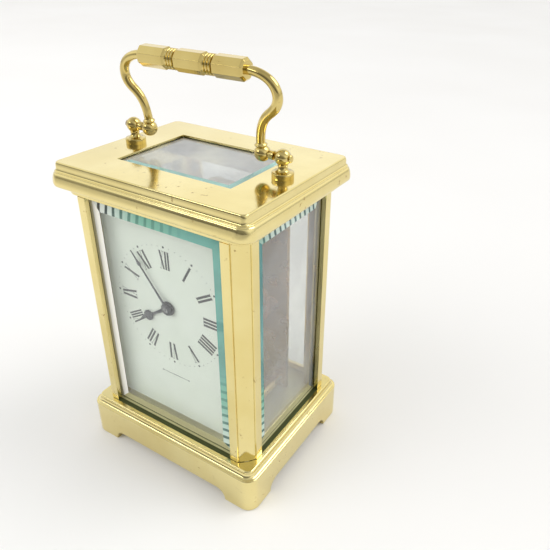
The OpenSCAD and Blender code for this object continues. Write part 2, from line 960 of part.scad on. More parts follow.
// Squared end for a key, with a small chamfer at its mouth
module square_end_at(p, y0, side) {
    upright(p, [y0, square_end])
        square(side, center = true);
}

// Coiled ribbon inside the barrel, from its hook on the arbor to the wall
mainspring_turns = 7;
module mainspring() {
    steps = 24 * mainspring_turns;
    r0 = 7.2;
    r1 = 13.7;
    ribbon = 0.35;
    color(steel)
        upright(barrel_at, [barrel_front + 1.6, great_wheel_y[0] - 0.4])
            polygon(concat(
                [for (i = [0:steps]) (r0 + (r1 - r0) * i / steps + ribbon) * polar(15 * i)],
                [for (i = [steps:-1:0]) (r0 + (r1 - r0) * i / steps) * polar(15 * i)]));
}

// Saw teeth: steep on one side, sloping on the other, with a gap at angle a
function ratchet_outline(n, tip, root, a) = [
    for (i = [0:n - 1], k = [0, 1])
        (k == 0 ? root : tip) * polar(a + 360 / n * (i + (k == 0 ? 0.08 : 0.02)))
];

ratchet_tip = 6.6;
ratchet_root = 5.6;
// The click's nose: radius from the barrel's axis, and angle past the click's own screw
nose_r = 6.4;
nose_turn = 26;

module ratchet_wheel() {
    color(steel)
        upright(barrel_at, ratchet_y)
            difference() {
                polygon(ratchet_outline(ratchet_teeth, ratchet_tip, ratchet_root,
                    bearing(barrel_at, click_at) + nose_turn + 2));
                circle(1.6 + fit_gap);
            }
}

// Pawl with its screw, its nose lying in a gap of the ratchet wheel
module click() {
    nose = barrel_at + nose_r * polar(bearing(barrel_at, click_at) + nose_turn);
    d = nose - click_at;
    u = d / norm(d);
    side = [-u[1], u[0]];
    color(steel) {
        upright([0, 0], ratchet_y) {
            translate(click_at)
                circle(1.8);
            polygon([click_at + 1.1 * side, nose + 0.1 * side, nose - 0.35 * side,
                click_at - 1.2 * side]);
        }
        rod(click_at, back_y + 0.2, ratchet_y[0], 0.8);
        rod(click_at, ratchet_y[1], ratchet_y[1] + 0.7, 1.2);
    }
}

// Leaf spring with its screw, lying just clear of the click's back
module click_spring() {
    foot = click_at + [9, -1];
    color(blued) {
        upright([0, 0], [back_y + plate_t, ratchet_y[1] - 0.2]) {
            translate(foot)
                circle(1.6);
            polygon([foot + [0, 1.5], foot + [-9.6, 4.4], foot + [-9.6, 4], foot + [0, 0.9]]);
        }
        rod(foot, ratchet_y[1] - 0.2, ratchet_y[1] + 0.7, 1.2);
    }
}

// ---------- going train ----------

// Flat wheel on an arbor, with a tooth pointing at the arbor that it drives
module train_wheel(p, next, n, m, y, spokes) {
    color(brass)
        upright(p, y)
            crossed_wheel(n, m, bearing(p, next), arbor_r + fit_gap, 2.2, spokes);
}

// Angle of a pinion leaf when the driving wheel at q has a tooth on the centre line
function leaf_angle(p, q, n) = bearing(p, q) + 180 / n;

module intermediate_arbor() {
    pinion_arbor(intermediate_at, intermediate_leaves, great_m,
        leaf_angle(intermediate_at, barrel_at, intermediate_leaves), [5.4, 8.2]);
}

module intermediate_wheel() {
    train_wheel(intermediate_at, centre_at, intermediate_teeth, intermediate_m,
        intermediate_wheel_y, 5);
}

module centre_arbor() {
    pinion_arbor(centre_at, centre_leaves, intermediate_m,
        leaf_angle(centre_at, intermediate_at, centre_leaves), [8.6, 10.9]);
    color(steel) {
        rod(centre_at, hand_end + 0.3, front_y, pivot_r);
        square_end_at(centre_at, back_y + plate_t, 1.9);
    }
}

module centre_wheel() {
    train_wheel(centre_at, third_at, centre_teeth, centre_m, centre_wheel_y, 5);
}

module third_arbor() {
    pinion_arbor(third_at, third_leaves, centre_m, leaf_angle(third_at, centre_at, third_leaves),
        [centre_wheel_y[0] - 0.6, centre_wheel_y[1] + 0.6]);
}

module third_wheel() {
    train_wheel(third_at, contrate_at, third_teeth, third_m, third_wheel_y, 5);
}

module contrate_arbor() {
    pinion_arbor(contrate_at, contrate_leaves, third_m,
        leaf_angle(contrate_at, third_at, contrate_leaves),
        [third_wheel_y[0] - 0.6, third_wheel_y[1] + 0.6]);
}

// Crown wheel: its teeth stand on the rim and point back along Y
contrate_rim = 0.6;
contrate_tooth_h = 1;
module contrate_wheel() {
    root_y = contrate_tip_y - contrate_tooth_h;
    rim_out = contrate_r + contrate_rim;
    rim_in = contrate_r - contrate_rim;
    color(brass) {
        upright(contrate_at, [root_y - 0.8, root_y])
            difference() {
                circle(rim_out);
                crossings(rim_in - 0.7, 2.2, 5);
                circle(arbor_r + fit_gap);
            }
        upright(contrate_at, [root_y, contrate_tip_y])
            for (i = [0:contrate_teeth - 1])
                rotate(90 + i * 360 / contrate_teeth)
                    translate([rim_in, -0.12])
                        square([2 * contrate_rim - 0.05, 0.24]);
    }
}

// ---------- platform escapement ----------

module platform() {
    color(old_brass)
        difference() {
            translate([-20, front_y, platform_z])
                cube([40, back_y + plate_t - front_y, platform_t]);
            translate([escape_at[0], escape_at[1], platform_z - over])
                cylinder(h = platform_t + 2 * over, r = 1.8);
            for (p = platform_screw_at)
                translate([p[0], plate_middle(p[1]), platform_z - over])
                    cylinder(h = platform_t + 2 * over, r = 0.6 + pivot_gap);
            for (p = [lever_at, balance_at])
                translate([p[0], p[1], platform_top - 1.1])
                    cylinder(h = 1.1 + over, r = 0.75 + fit_gap);
            for (p = cock_screw_at)
                translate([p[0], p[1], platform_z - over])
                    cylinder(h = platform_t + 2 * over, r = 0.5 + fit_gap);
        }
}

// The middle of the plate that a platform screw at y goes into
function plate_middle(y) = (y < 0 ? front_y : back_y) + plate_t / 2;

cock_screw_at = [[-17.5, 0], [17, 0], [escape_at[0], -7]];

module platform_screws() {
    color(blued) {
        for (p = platform_screw_at)
            screw_down(p[0], plate_middle(p[1]), platform_top, 0.6, platform_t + 4.5, 1.3, 0.8);
        screw_down(cock_screw_at[0][0], 0, train_cock_z + 0.8, 0.5, 5.4, 1.1, 0.7);
        screw_down(cock_screw_at[1][0], 0, cock_z + cock_t, 0.5, 10, 1.3, 0.8);
        screw_down(cock_screw_at[2][0], cock_screw_at[2][1], platform_top, 0.5, 2.4, 1, 0.6);
    }
}

// Foot on the platform and an arm over the balance
module balance_cock() {
    color(brass)
        difference() {
            union() {
                translate([14, -3, platform_top])
                    cube([6, 6, cock_z - platform_top]);
                translate([0, 0, cock_z])
                    linear_extrude(cock_t) {
                        translate([balance_at[0], 0])
                            circle(3);
                        polygon([[balance_at[0], -2.2], [20, -3], [20, 3], [balance_at[0], 2.2]]);
                    }
            }
            translate([balance_at[0], balance_at[1], cock_z - over])
                cylinder(h = cock_t + 2 * over, r = 0.75 + fit_gap);
            translate([cock_screw_at[1][0], 0, platform_top - over])
                cylinder(h = 12, r = 0.5 + pivot_gap);
        }
}

// Low bridge over the escape wheel and the lever
module train_cock() {
    color(brass)
        difference() {
            union() {
                translate([-20, -3, platform_top])
                    cube([5, 6, train_cock_z - platform_top]);
                translate([-20, -2.2, train_cock_z])
                    cube([lever_at[0] + 1.6 + 20, 4.4, 0.8]);
            }
            for (p = [escape_at, lever_at])
                translate([p[0], p[1], train_cock_z - over])
                    cylinder(h = 3, r = 0.55 + fit_gap);
            translate([cock_screw_at[0][0], 0, platform_top - over])
                cylinder(h = 8, r = 0.5 + pivot_gap);
        }
}

// Bracket under the platform that carries the lower escape pivot
potence_low = platform_z - 5.2;
module escape_potence() {
    x = escape_at[0];
    color(brass)
        difference() {
            union() {
                translate([x - 1.5, 1.6, potence_low])
                    cube([3, 6.9, 1]);
                translate([x - 1.5, 5.5, potence_low])
                    cube([3, 3, platform_z - potence_low]);
                translate([x, 0, potence_low])
                    cylinder(h = 1, r = 1.2);
                translate([x - 1.2, 0, potence_low])
                    cube([2.4, 2, 1]);
            }
            translate([x, 0, potence_low - over])
                cylinder(h = 3, r = 0.3 + pivot_gap);
        }
}

// Ruby bearings for the lever, balance and upper escape pivots
module jewels() {
    color(ruby) {
        for (p = [lever_at, balance_at])
            jewel(p, platform_top - 1.1, 0.75, 1);
        jewel(balance_at, cock_z + 0.1, 0.75, 1);
        for (p = [escape_at, lever_at])
            jewel(p, train_cock_z + 0.05, 0.55, 0.7);
    }
}

module jewel(p, z, r, h) {
    translate([p[0], p[1], z])
        difference() {
            cylinder(h = h, r = r);
            translate([0, 0, -over])
                cylinder(h = h + 2 * over, r = 0.15 + pivot_gap);
        }
}

module escape_arbor() {
    color(steel)
        translate([escape_at[0], escape_at[1], 0]) {
            translate([0, 0, potence_low + 0.1])
                cylinder(h = 1, r = 0.3);
            translate([0, 0, potence_low + 1.1])
                cylinder(h = escape_z + 0.8 - potence_low - 1.1, r = 0.42);
            translate([0, 0, escape_z + 0.8])
                cylinder(h = train_cock_z + 0.7 - escape_z - 0.8, r = 0.15);
            translate([0, 0, contrate_at[1] + contrate_r - 0.9])
                linear_extrude(1.8)
                    polygon(escape_pinion);
        }
}

// Six slim leaves, with a gap facing the contrate wheel in front
escape_pinion = [
    for (i = [0:escape_leaves - 1], k = [[0.5, -12], [1.12, -5], [1.12, 5], [0.5, 12]])
        k[0] * polar(-60 + 360 / escape_leaves * i + k[1])
];

// Club-footed teeth that lean forwards
module escape_wheel() {
    root = escape_r - 1;
    outline = [
        for (i = [0:escape_teeth - 1], k = [[root, 0], [escape_r, 8], [escape_r - 0.15, 11],
                [root, 6]])
            k[0] * polar(360 / escape_teeth * i + k[1])
    ];
    color(brass)
        translate([escape_at[0], escape_at[1], escape_z])
            linear_extrude(0.4)
                difference() {
                    polygon(outline);
                    crossings(root - 0.7, 1.1, 4, 0.5);
                    circle(0.42 + fit_gap);
                }
}

// Lever: two pallet arms round the escape wheel, a stem and a fork at the balance
module lever() {
    reach = 4.6;
    color(steel)
        translate([0, 0, escape_z - 0.05]) {
            linear_extrude(lever_t) {
                translate(lever_at)
                    circle(0.9);
                for (s = [-1, 1])
                    mirror([0, s < 0 ? 1 : 0]) {
                        polygon([lever_at + [0.3, 0], lever_at + [-0.5, 0.6],
                            escape_at + reach * polar(30), escape_at + (reach + 0.9) * polar(38),
                            escape_at + (reach + 1.1) * polar(30)]);
                        polygon([lever_at + [4.4, 0.15], lever_at + [5.3, 0.5],
                            lever_at + [5.3, 0.9], lever_at + [4.2, 0.7]]);
                    }
                translate(lever_at + [0, -0.3])
                    square([4.7, 0.6]);
            }
            translate([lever_at[0], lever_at[1], platform_top - escape_z + 0.05 - 1])
                cylinder(h = 1, r = 0.15);
            translate([lever_at[0], lever_at[1], platform_top - escape_z + 0.05])
                cylinder(h = train_cock_z - platform_top, r = 0.4);
            translate([lever_at[0], lever_at[1], train_cock_z - escape_z + 0.05])
                cylinder(h = 0.7, r = 0.15);
        }
}

// Two-armed balance with screws round its rim
module balance_wheel() {
    color(brass)
        translate([balance_at[0], balance_at[1], balance_z]) {
            linear_extrude(balance_t)
                difference() {
                    circle(balance_r - 0.6);
                    crossings(balance_r - 1.7, 1.4, 2, 1);
                    circle(0.8 + fit_gap);
                }
            for (i = [0:9])
                rotate(18 + 36 * i)
                    translate([balance_r - 0.7, 0, balance_t / 2])
                        rotate([0, 90, 0])
                            cylinder(h = 0.7, r = 0.4);
        }
}

module balance_staff() {
    color(steel)
        translate([balance_at[0], balance_at[1], 0]) {
            translate([0, 0, platform_top - 1])
                cylinder(h = 1.1, r = 0.15);
            translate([0, 0, platform_top + 0.1])
                cylinder(h = cock_z - platform_top - 0.2, r = 0.8);
            translate([0, 0, cock_z - 0.1])
                cylinder(h = 1, r = 0.15);
            translate([0, 0, escape_z - 0.1])
                cylinder(h = 0.6, r = 2);
            translate([1.5, 0, escape_z - 0.8])
                cylinder(h = 0.8, r = 0.25);
        }
}

// Flat spiral spring above the balance, pinned to the cock
module hairspring() {
    turns = 7;
    steps = 20 * turns;
    r0 = 1.1;
    r1 = 4.6;
    ribbon = 0.12;
    color(blued)
        translate([balance_at[0], balance_at[1], balance_z + balance_t + 0.4])
            linear_extrude(0.4)
                polygon(concat(
                    [for (i = [0:steps]) (r0 + (r1 - r0) * i / steps + ribbon) * polar(18 * i)],
                    [for (i = [steps:-1:0]) (r0 + (r1 - r0) * i / steps) * polar(18 * i)]));
}

base();
top_plate();
pillar_front_left();
pillar_front_right();
pillar_rear_left();
pillar_rear_right();
front_glass();
left_glass();
right_glass();
top_glass();
handle_posts();
case_screws();
movement_screws();
door_frame();
door_glass();
door_knob();
door_pins();
handle_grip();
handle_arm_left();
handle_arm_right();
handle_pivot_screws();
dial();
front_plate();
back_plate();
plate_pillars();
plate_screws();
platform();
platform_screws();
balance_cock();
train_cock();
escape_potence();
jewels();
barrel();
barrel_cap();
barrel_arbor();
mainspring();
ratchet_wheel();
click();
click_spring();
intermediate_arbor();
intermediate_wheel();
centre_arbor();
centre_wheel();
third_arbor();
third_wheel();
contrate_arbor();
contrate_wheel();
escape_arbor();
escape_wheel();
lever();
balance_wheel();
balance_staff();
hairspring();
cannon_pinion();
minute_wheel();
hour_wheel();
hour_hand();
minute_hand();
hand_collet();
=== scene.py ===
import json
from math import acos, atan2, cos, degrees, pi, radians, sin, sqrt

import bmesh
import bpy
from mathutils import Matrix, Vector


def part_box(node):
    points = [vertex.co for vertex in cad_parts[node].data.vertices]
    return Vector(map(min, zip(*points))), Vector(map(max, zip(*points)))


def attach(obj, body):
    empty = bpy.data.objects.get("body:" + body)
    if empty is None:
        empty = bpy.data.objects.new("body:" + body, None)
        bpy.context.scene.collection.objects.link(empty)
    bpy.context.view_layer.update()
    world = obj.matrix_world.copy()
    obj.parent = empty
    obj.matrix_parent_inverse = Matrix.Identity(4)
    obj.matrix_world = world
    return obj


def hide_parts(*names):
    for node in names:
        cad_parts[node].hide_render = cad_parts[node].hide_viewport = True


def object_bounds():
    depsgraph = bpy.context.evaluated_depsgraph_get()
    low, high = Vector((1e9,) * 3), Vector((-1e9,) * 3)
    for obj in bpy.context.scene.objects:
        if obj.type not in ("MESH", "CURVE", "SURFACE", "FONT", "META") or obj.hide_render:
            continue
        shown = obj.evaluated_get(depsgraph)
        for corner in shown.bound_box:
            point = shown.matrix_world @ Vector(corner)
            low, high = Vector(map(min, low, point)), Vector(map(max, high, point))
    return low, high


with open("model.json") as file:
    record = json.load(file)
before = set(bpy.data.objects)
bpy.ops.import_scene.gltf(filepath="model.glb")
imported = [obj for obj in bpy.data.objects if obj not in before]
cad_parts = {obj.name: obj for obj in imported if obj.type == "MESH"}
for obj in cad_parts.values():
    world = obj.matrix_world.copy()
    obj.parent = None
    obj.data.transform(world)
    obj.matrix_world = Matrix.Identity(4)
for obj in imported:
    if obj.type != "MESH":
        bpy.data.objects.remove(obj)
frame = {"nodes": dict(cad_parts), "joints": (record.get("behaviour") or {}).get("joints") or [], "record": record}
cad_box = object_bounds()

MM = 0.001
NODES = frame["nodes"]
JOINT_AT = {
    row["name"]: Vector(row["pos_m"]) / MM for row in frame["joints"]
}
SLOT_OF = {
    row["node"]: row["material_slot"] for row in frame["record"]["subparts"]
}


def box_mm(node):
    """Lowest and highest corner of a CAD node, in millimetres."""
    low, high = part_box(node)
    return low / MM, high / MM


# ---------- places taken from the frame ----------

BASE_HIGH = box_mm("base")[1]
TOP_LOW, TOP_HIGH = box_mm("top_plate")
FRONT_LOW, FRONT_HIGH = box_mm("front_glass")
TOP_GLASS_HIGH = box_mm("top_glass")[1]
DOOR_LOW, DOOR_HIGH = box_mm("door_frame")
GRIP_LOW, GRIP_HIGH = box_mm("handle_grip")

PIVOT = JOINT_AT["handle_fold"]
HANDS = JOINT_AT["centre_turn"]
BASE_TOP = BASE_HIGH.z
PILLAR_TOP = TOP_LOW.z
TOP_Z = TOP_HIGH.z
DIAL_Y = box_mm("dial")[0].y

# Sizes that the design repeats
CORNER_R = 5
CORNER_STEPS = 8
TURNED_SIDES = 48
PILLAR_W = 8.8
PILLAR_CANT = 5.2
CANT_STEP = 0.6
ARCH_H = 4.6
FOOT_W = 13
FOOT_D = 12.9
FRONT_ARCH = BASE_HIGH.x - FOOT_W
SIDE_ARCH = BASE_HIGH.y - FOOT_D
WINDOW_LEDGE = 1.7
NECK_R = 5.6
SLAB_R = 1.9
BEVEL_W = 4.6
TOP_BEVEL_W = 3.3
GLASS_RECESS = 2.0
SILL = 4.1
SILL_R = 8.6
GLASS_EDGE_T = 1.4
PANE_TUCK = 1.3
POST_X = 33.6
BALL_X = 25.5


# ---------- outlines and solids ----------


def arc(x, z, r, start, end, steps):
    """Points on a circle about (x, z), from one angle to another, in degrees."""
    return [
        (x + r * cos(radians(a)), z + r * sin(radians(a)))
        for a in (start + (end - start) * i / steps for i in range(steps + 1))
    ]


def plan(half_x, half_y, r, front=(), side=()):
    """Rounded rectangle seen from above. front and side are extra stops along its straight edges."""
    outline = []
    for quarter in range(4):
        sx = 1 if quarter in (0, 3) else -1
        sy = 1 if quarter < 2 else -1
        outline += arc(sx * (half_x - r), sy * (half_y - r), r,
                       90 * quarter, 90 * quarter + 90, CORNER_STEPS)
        if quarter % 2 == 0:
            outline += [(sx * x, sy * half_y) for x in reversed(front)]
        else:
            outline += [(sx * half_x, sy * y) for y in reversed(side)]
    return outline


def loft(loops, caps=True, closed=False):
    """Faces that join loops of equally many points, with or without end caps."""
    n = len(loops[0])
    points = [p for loop in loops for p in loop]
    faces = []
    for i in range(len(loops) if closed else len(loops) - 1):
        a, b = i * n, (i + 1) % len(loops) * n
        for k in range(n):
            j = (k + 1) % n
            faces.append((a + k, a + j, b + j, b + k))
    if caps and not closed:
        faces.append(tuple(reversed(range(n))))
        faces.append(tuple(range(len(points) - n, len(points))))
    return points, faces


def revolve(profile):
    """Solid turned about the Z axis from [radius, z] points."""
    least_r = 0.002
    turn = [2 * pi * k / TURNED_SIDES for k in range(TURNED_SIDES)]
    return loft([[(max(r, least_r) * cos(a), max(r, least_r) * sin(a), z) for a in turn]
                 for r, z in profile])


def inset(outline, d):
    """The outline moved inwards by d along the bisector at each corner."""
    moved = []
    n = len(outline)
    for i in range(n):
        p, a, b = (Vector(outline[k % n]) for k in (i, i - 1, i + 1))
        u, v = (p - a).normalized(), (b - p).normalized()
        m = Vector((-u.y - v.y, u.x + v.x)) / (1 + u.dot(v))
        moved.append(tuple(p + m * d))
    return moved


def fillet(corners, r):
    """The closed outline with every corner rounded to radius r."""
    steps = 3
    outline = []
    n = len(corners)
    for i in range(n):
        p, a, b = (Vector(corners[k % n]) for k in (i, i - 1, i + 1))
        u, v = (a - p).normalized(), (b - p).normalized()
        half = acos(max(-1, min(1, u.dot(v)))) / 2
        back = r / max(sin(half) / cos(half), 0.01)
        p0, p1 = p + u * back, p + v * back
        for k in range(steps + 1):
            t = k / steps
            outline.append(tuple(p0 * (1 - t) ** 2 + p * 2 * t * (1 - t) + p1 * t ** 2))
    return outline


def slab(outline, height, edge):
    """Prism on an outline, standing on Z = 0, with both rims rounded."""
    steps = 2
    rims = [(edge * (1 - sin(pi / 2 * k / steps)), edge * (1 - cos(pi / 2 * k / steps)))
            for k in range(steps + 1)]
    stops = rims + [(d, height - z) for d, z in reversed(rims)]
    return loft([[(x, y, z) for x, y in inset(outline, d)] for d, z in stops])


def sweep(path, radius):
    """Round bar along a path in the XZ plane. radius is one value for each point."""
    sides = 24
    loops = []
    for i, (x, z) in enumerate(path):
        ahead, behind = path[min(i + 1, len(path) - 1)], path[max(i - 1, 0)]
        u = Vector((ahead[1] - behind[1], behind[0] - ahead[0])).normalized()
        loops.append([
            (x + radius[i] * cos(a) * u.x, radius[i] * sin(a), z + radius[i] * cos(a) * u.y)
            for a in (2 * pi * k / sides for k in range(sides))
        ])
    return loft(loops)


def bezier(curve, steps):
    """Points along a cubic curve, without its last one."""
    a, b, c, d = (Vector(p) for p in curve)
    return [
        tuple(a * (1 - t) ** 3 + b * 3 * t * (1 - t) ** 2 + c * 3 * t * t * (1 - t) + d * t ** 3)
        for t in (i / steps for i in range(steps))
    ]


class Solid:
    """Collects points and faces, with a material index for each face."""

    def __init__(self):
        self.points = []
        self.faces = []
        self.index = []

    def add(self, part, at=None):
        points, faces = part
        start = len(self.points)
        self.points += [tuple(at @ Vector(p)) for p in points] if at else points
        self.faces += [tuple(k + start for k in face) for face in faces]
        self.index += [0] * len(faces)
        return self


def new_object(name, solid, materials, body, replaced=(), slot=None, sharp=35):
    """Makes the mesh, joins its seams, and puts it on its body."""
    mesh = bpy.data.meshes.new(name)
    mesh.from_pydata([Vector(p) * MM for p in solid.points], [], solid.faces)
    for material in materials:
        mesh.materials.append(material)
    mesh.polygons.foreach_set("material_index", solid.index)
    bm = bmesh.new()
    bm.from_mesh(mesh)
    bmesh.ops.remove_doubles(bm, verts=bm.verts, dist=2e-6)
    bmesh.ops.dissolve_degenerate(bm, dist=1e-7, edges=bm.edges)
    bmesh.ops.recalc_face_normals(bm, faces=bm.faces)
    bm.to_mesh(mesh)
    bm.free()
    mesh.polygons.foreach_set("use_smooth", [True] * len(mesh.polygons))
    mesh.set_sharp_from_angle(angle=radians(sharp))
    piece = bpy.data.objects.new(name, mesh)
    bpy.context.scene.collection.objects.link(piece)
    normals = piece.modifiers.new("normals", "WEIGHTED_NORMAL")
    normals.keep_sharp = True
    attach(piece, body)
    if replaced:
        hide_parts(*replaced)
    return piece


def single(name, part, material, body, **options):
    """A piece made of one part with one material."""
    return new_object(name, Solid().add(part), [material], body, **options)


# ---------- materials ----------


class Nodes:
    """A material's node tree, with short calls for what is used here."""

    def __init__(self, name):
        self.material = bpy.data.materials.new(name)
        self.material.use_nodes = True
        self.tree = self.material.node_tree
        self.tree.nodes.clear()
        self.out = self.tree.nodes.new("ShaderNodeOutputMaterial")
        self.place = self.make("ShaderNodeTexCoord").outputs["Object"]

    def make(self, kind, **settings):
        node = self.tree.nodes.new(kind)
        for key, value in settings.items():
            setattr(node, key, value)
        return node

    def link(self, source, target):
        self.tree.links.new(source, target)

    def feed(self, socket, value):
        if isinstance(value, bpy.types.NodeSocket):
            self.link(value, socket)
        else:
            socket.default_value = value

    def stretched(self, scale):
        node = self.make("ShaderNodeMapping")
        self.link(self.place, node.inputs["Vector"])
        node.inputs["Scale"].default_value = scale
        return node.outputs["Vector"]

    def noise(self, scale, detail, rough=0.5, vector=None):
        node = self.make("ShaderNodeTexNoise")
        self.link(vector or self.place, node.inputs["Vector"])
        node.inputs["Scale"].default_value = scale
        node.inputs["Detail"].default_value = detail
        node.inputs["Roughness"].default_value = rough
        return node.outputs["Fac"]

    def ramp(self, fac, stops):
        node = self.make("ShaderNodeValToRGB")
        self.link(fac, node.inputs["Fac"])
        points = node.color_ramp.elements
        while len(points) < len(stops):
            points.new(0.5)
        for point, (at, colour) in zip(points, stops):
            point.position = at
            grey = not isinstance(colour, tuple)
            point.color = (colour, colour, colour, 1) if grey else (*colour, 1)
        return node.outputs["Color"]

    def fit(self, value, low, high, to_low, to_high):
        node = self.make("ShaderNodeMapRange", interpolation_type="SMOOTHSTEP")
        self.feed(node.inputs["Value"], value)
        for key, number in zip(("From Min", "From Max", "To Min", "To Max"),
                               (low, high, to_low, to_high)):
            node.inputs[key].default_value = number
        return node.outputs["Result"]

    def math(self, operation, a, b=0.0):
        node = self.make("ShaderNodeMath", operation=operation)
        self.feed(node.inputs[0], a)
        self.feed(node.inputs[1], b)
        return node.outputs[0]

    def mix(self, fac, a, b):
        node = self.make("ShaderNodeMix", data_type="RGBA")
        self.feed(node.inputs["Factor"], fac)
        self.feed(node.inputs["A"], a if isinstance(a, bpy.types.NodeSocket) else (*a, 1))
        self.feed(node.inputs["B"], b if isinstance(b, bpy.types.NodeSocket) else (*b, 1))
        return node.outputs["Result"]

    def axes(self):
        node = self.make("ShaderNodeSeparateXYZ")
        self.link(self.place, node.inputs["Vector"])
        return node.outputs

    def bump(self, height, strength, distance):
        node = self.make("ShaderNodeBump")
        self.link(height, node.inputs["Height"])
        node.inputs["Strength"].default_value = strength
        node.inputs["Distance"].default_value = distance
        return node.outputs["Normal"]

    def principled(self, **inputs):
        node = self.make("ShaderNodeBsdfPrincipled")
        for key, value in inputs.items():
            socket = node.inputs[key.replace("_", " ")]
            if isinstance(value, tuple):
                value = (*value, 1)
            self.feed(socket, value)
        return node.outputs["BSDF"]

    def blend(self, fac, a, b):
        node = self.make("ShaderNodeMixShader")
        self.feed(node.inputs[0], fac)
        self.link(a, node.inputs[1])
        self.link(b, node.inputs[2])
        return node.outputs[0]

    def done(self, shader):
        self.link(shader, self.out.inputs["Surface"])
        return self.material


def brass_material(name, pale, deep, rough, scratch, spots):
    """Polished metal with hairlines, soft smears and small brown spots."""
    n = Nodes(name)
    tone = n.ramp(n.noise(38, 4), [(0.38, deep), (0.62, pale)])
    speck = n.ramp(n.noise(420, 2, 0.6), [(spots, 0.0), (spots + 0.03, 1.0)])
    patchy = n.ramp(n.noise(55, 1), [(0.5, 0.0), (0.62, 1.0)])
    fleck = n.math("MULTIPLY", speck, patchy)
    colour = n.mix(n.math("MULTIPLY", fleck, 0.55), tone, (0.30, 0.17, 0.05))
    hairline = n.noise(900, 2, 0.7, n.stretched((1, 1, 0.06)))
    across = n.noise(900, 2, 0.7, n.stretched((0.06, 0.8, 1)))
    smear = n.noise(60, 3, 0.6)
    wear = n.math("ADD", n.fit(smear, 0.35, 0.7, 0.0, scratch),
                  n.math("MULTIPLY", n.math("ADD", hairline, across), scratch * 0.25))
    shine = n.math("ADD", n.math("ADD", wear, rough), n.math("MULTIPLY", fleck, 0.25))
    surface = n.math("ADD", n.math("MULTIPLY", n.math("ADD", hairline, across), 0.5),
                     n.math("MULTIPLY", n.noise(150, 2), 1.2))
    shader = n.principled(
        Base_Color=colour, Metallic=1.0, Roughness=shine, Coat_Weight=0.35,
        Coat_Roughness=0.06, Normal=n.bump(surface, 0.05, 0.0002),
    )
    return n.done(shader)


def gilt_material(name, pale, deep, rough):
    """Satin gilt plates and turned wheels, finely grained."""
    n = Nodes(name)
    grain = n.noise(1400, 2, 0.6, n.stretched((1, 1, 0.08)))
    tone = n.ramp(n.noise(70, 3), [(0.35, deep), (0.65, pale)])
    shine = n.fit(n.noise(120, 3, 0.6), 0.3, 0.7, rough, rough + 0.12)
    shader = n.principled(
        Base_Color=tone, Metallic=1.0, Roughness=shine, Normal=n.bump(grain, 0.03, 0.0001)
    )
    return n.done(shader)


def steel_material(name, pale, deep, rough):
    """Polished or blued steel with a little change of tone."""
    n = Nodes(name)
    tone = n.ramp(n.noise(160, 3), [(0.35, deep), (0.65, pale)])
    shine = n.fit(n.noise(500, 2), 0.3, 0.7, rough, rough + 0.1)
    line = n.noise(2200, 1, 0.5, n.stretched((1, 0.1, 1)))
    shader = n.principled(
        Base_Color=tone, Metallic=1.0, Roughness=shine, Normal=n.bump(line, 0.08, 0.0001)
    )
    return n.done(shader)


def enamel_material():
    """Fired white enamel: glossy, slightly uneven, with a faint yellow-green cast."""
    n = Nodes("enamel_glaze")
    tone = n.ramp(n.noise(45, 3), [(0.3, (0.80, 0.83, 0.73)), (0.7, (0.85, 0.87, 0.79))])
    shader = n.principled(
        Base_Color=tone, Roughness=n.fit(n.noise(220, 2), 0.3, 0.7, 0.12, 0.2),
        Coat_Weight=0.4, Coat_Roughness=0.05, Normal=n.bump(n.noise(260, 1), 0.05, 0.0003),
    )
    return n.done(shader)


def print_material():
    """Black enamel paint of the numerals, a little thin in places."""
    n = Nodes("dial_print")
    tone = n.ramp(n.noise(900, 2), [(0.3, 0.012), (0.75, 0.035)])
    return n.done(n.principled(Base_Color=tone, Roughness=0.35))


def ruby_material():
    """Pink-red synthetic ruby."""
    n = Nodes("ruby_jewel")
    tone = n.ramp(n.noise(900, 1), [(0.3, (0.5, 0.02, 0.08)), (0.7, (0.75, 0.06, 0.14))])
    return n.done(n.principled(Base_Color=tone, Roughness=0.08, Transmission_Weight=0.5, IOR=1.76))


def let_light_in(n, glass):
    """Glass that lamps shine through, so that what it closes off is lit."""
    clear = n.make("ShaderNodeBsdfTransparent")
    clear.inputs["Color"].default_value = (0.9, 0.95, 0.93, 1)
    ray = n.make("ShaderNodeLightPath").outputs["Is Shadow Ray"]
    return n.blend(ray, glass, clear.outputs[0])


def glass_material(name, dim, clear, dust_and_sheen_low, dust_and_sheen_high):
    """Very slightly green plate glass with faint smears and a thin grey film, partly dust and partly a painted
    reflection.
    """
    n = Nodes(name)
    tone = n.ramp(n.noise(30, 2), [(0.3, dim), (0.7, clear)])
    haze = n.fit(n.noise(90, 3, 0.65), 0.55, 0.8, 0.0, 0.05)
    glass = n.principled(
        Base_Color=tone, Roughness=haze, Transmission_Weight=1.0, IOR=1.5
    )
    # painted reflection as well as dust: a grey diffuse film laid over the glass
    dust_and_sheen = n.principled(
        Base_Color=n.ramp(n.noise(70, 3), [(0.3, (0.50, 0.51, 0.52)), (0.7, (0.62, 0.63, 0.62))]),
        Roughness=0.6,
    )
    dust_and_sheen_share = n.fit(n.noise(26, 3, 0.6), 0.3, 0.7, dust_and_sheen_low, dust_and_sheen_high)
    return n.done(let_light_in(n, n.blend(dust_and_sheen_share, glass, dust_and_sheen)))


def bevel_shader(n, tone, solid):
    """Mostly a painted reflection, the colour that the bevel picks up laid on as its own colour, with some clear
    glass in it.
    """
    # painted reflection: a flat colour standing for what the bevel shows; solid is its share
    painted_reflection = n.principled(
        Base_Color=tone, Roughness=n.fit(n.noise(200, 2), 0.3, 0.7, 0.05, 0.12), IOR=1.5
    )
    glass = n.principled(
        Base_Color=(0.8, 0.94, 0.9), Roughness=n.fit(n.noise(200, 2), 0.3, 0.7, 0.02, 0.06),
        Transmission_Weight=1.0, IOR=1.5,
    )
    return n.done(let_light_in(n, n.blend(solid, glass, painted_reflection)))


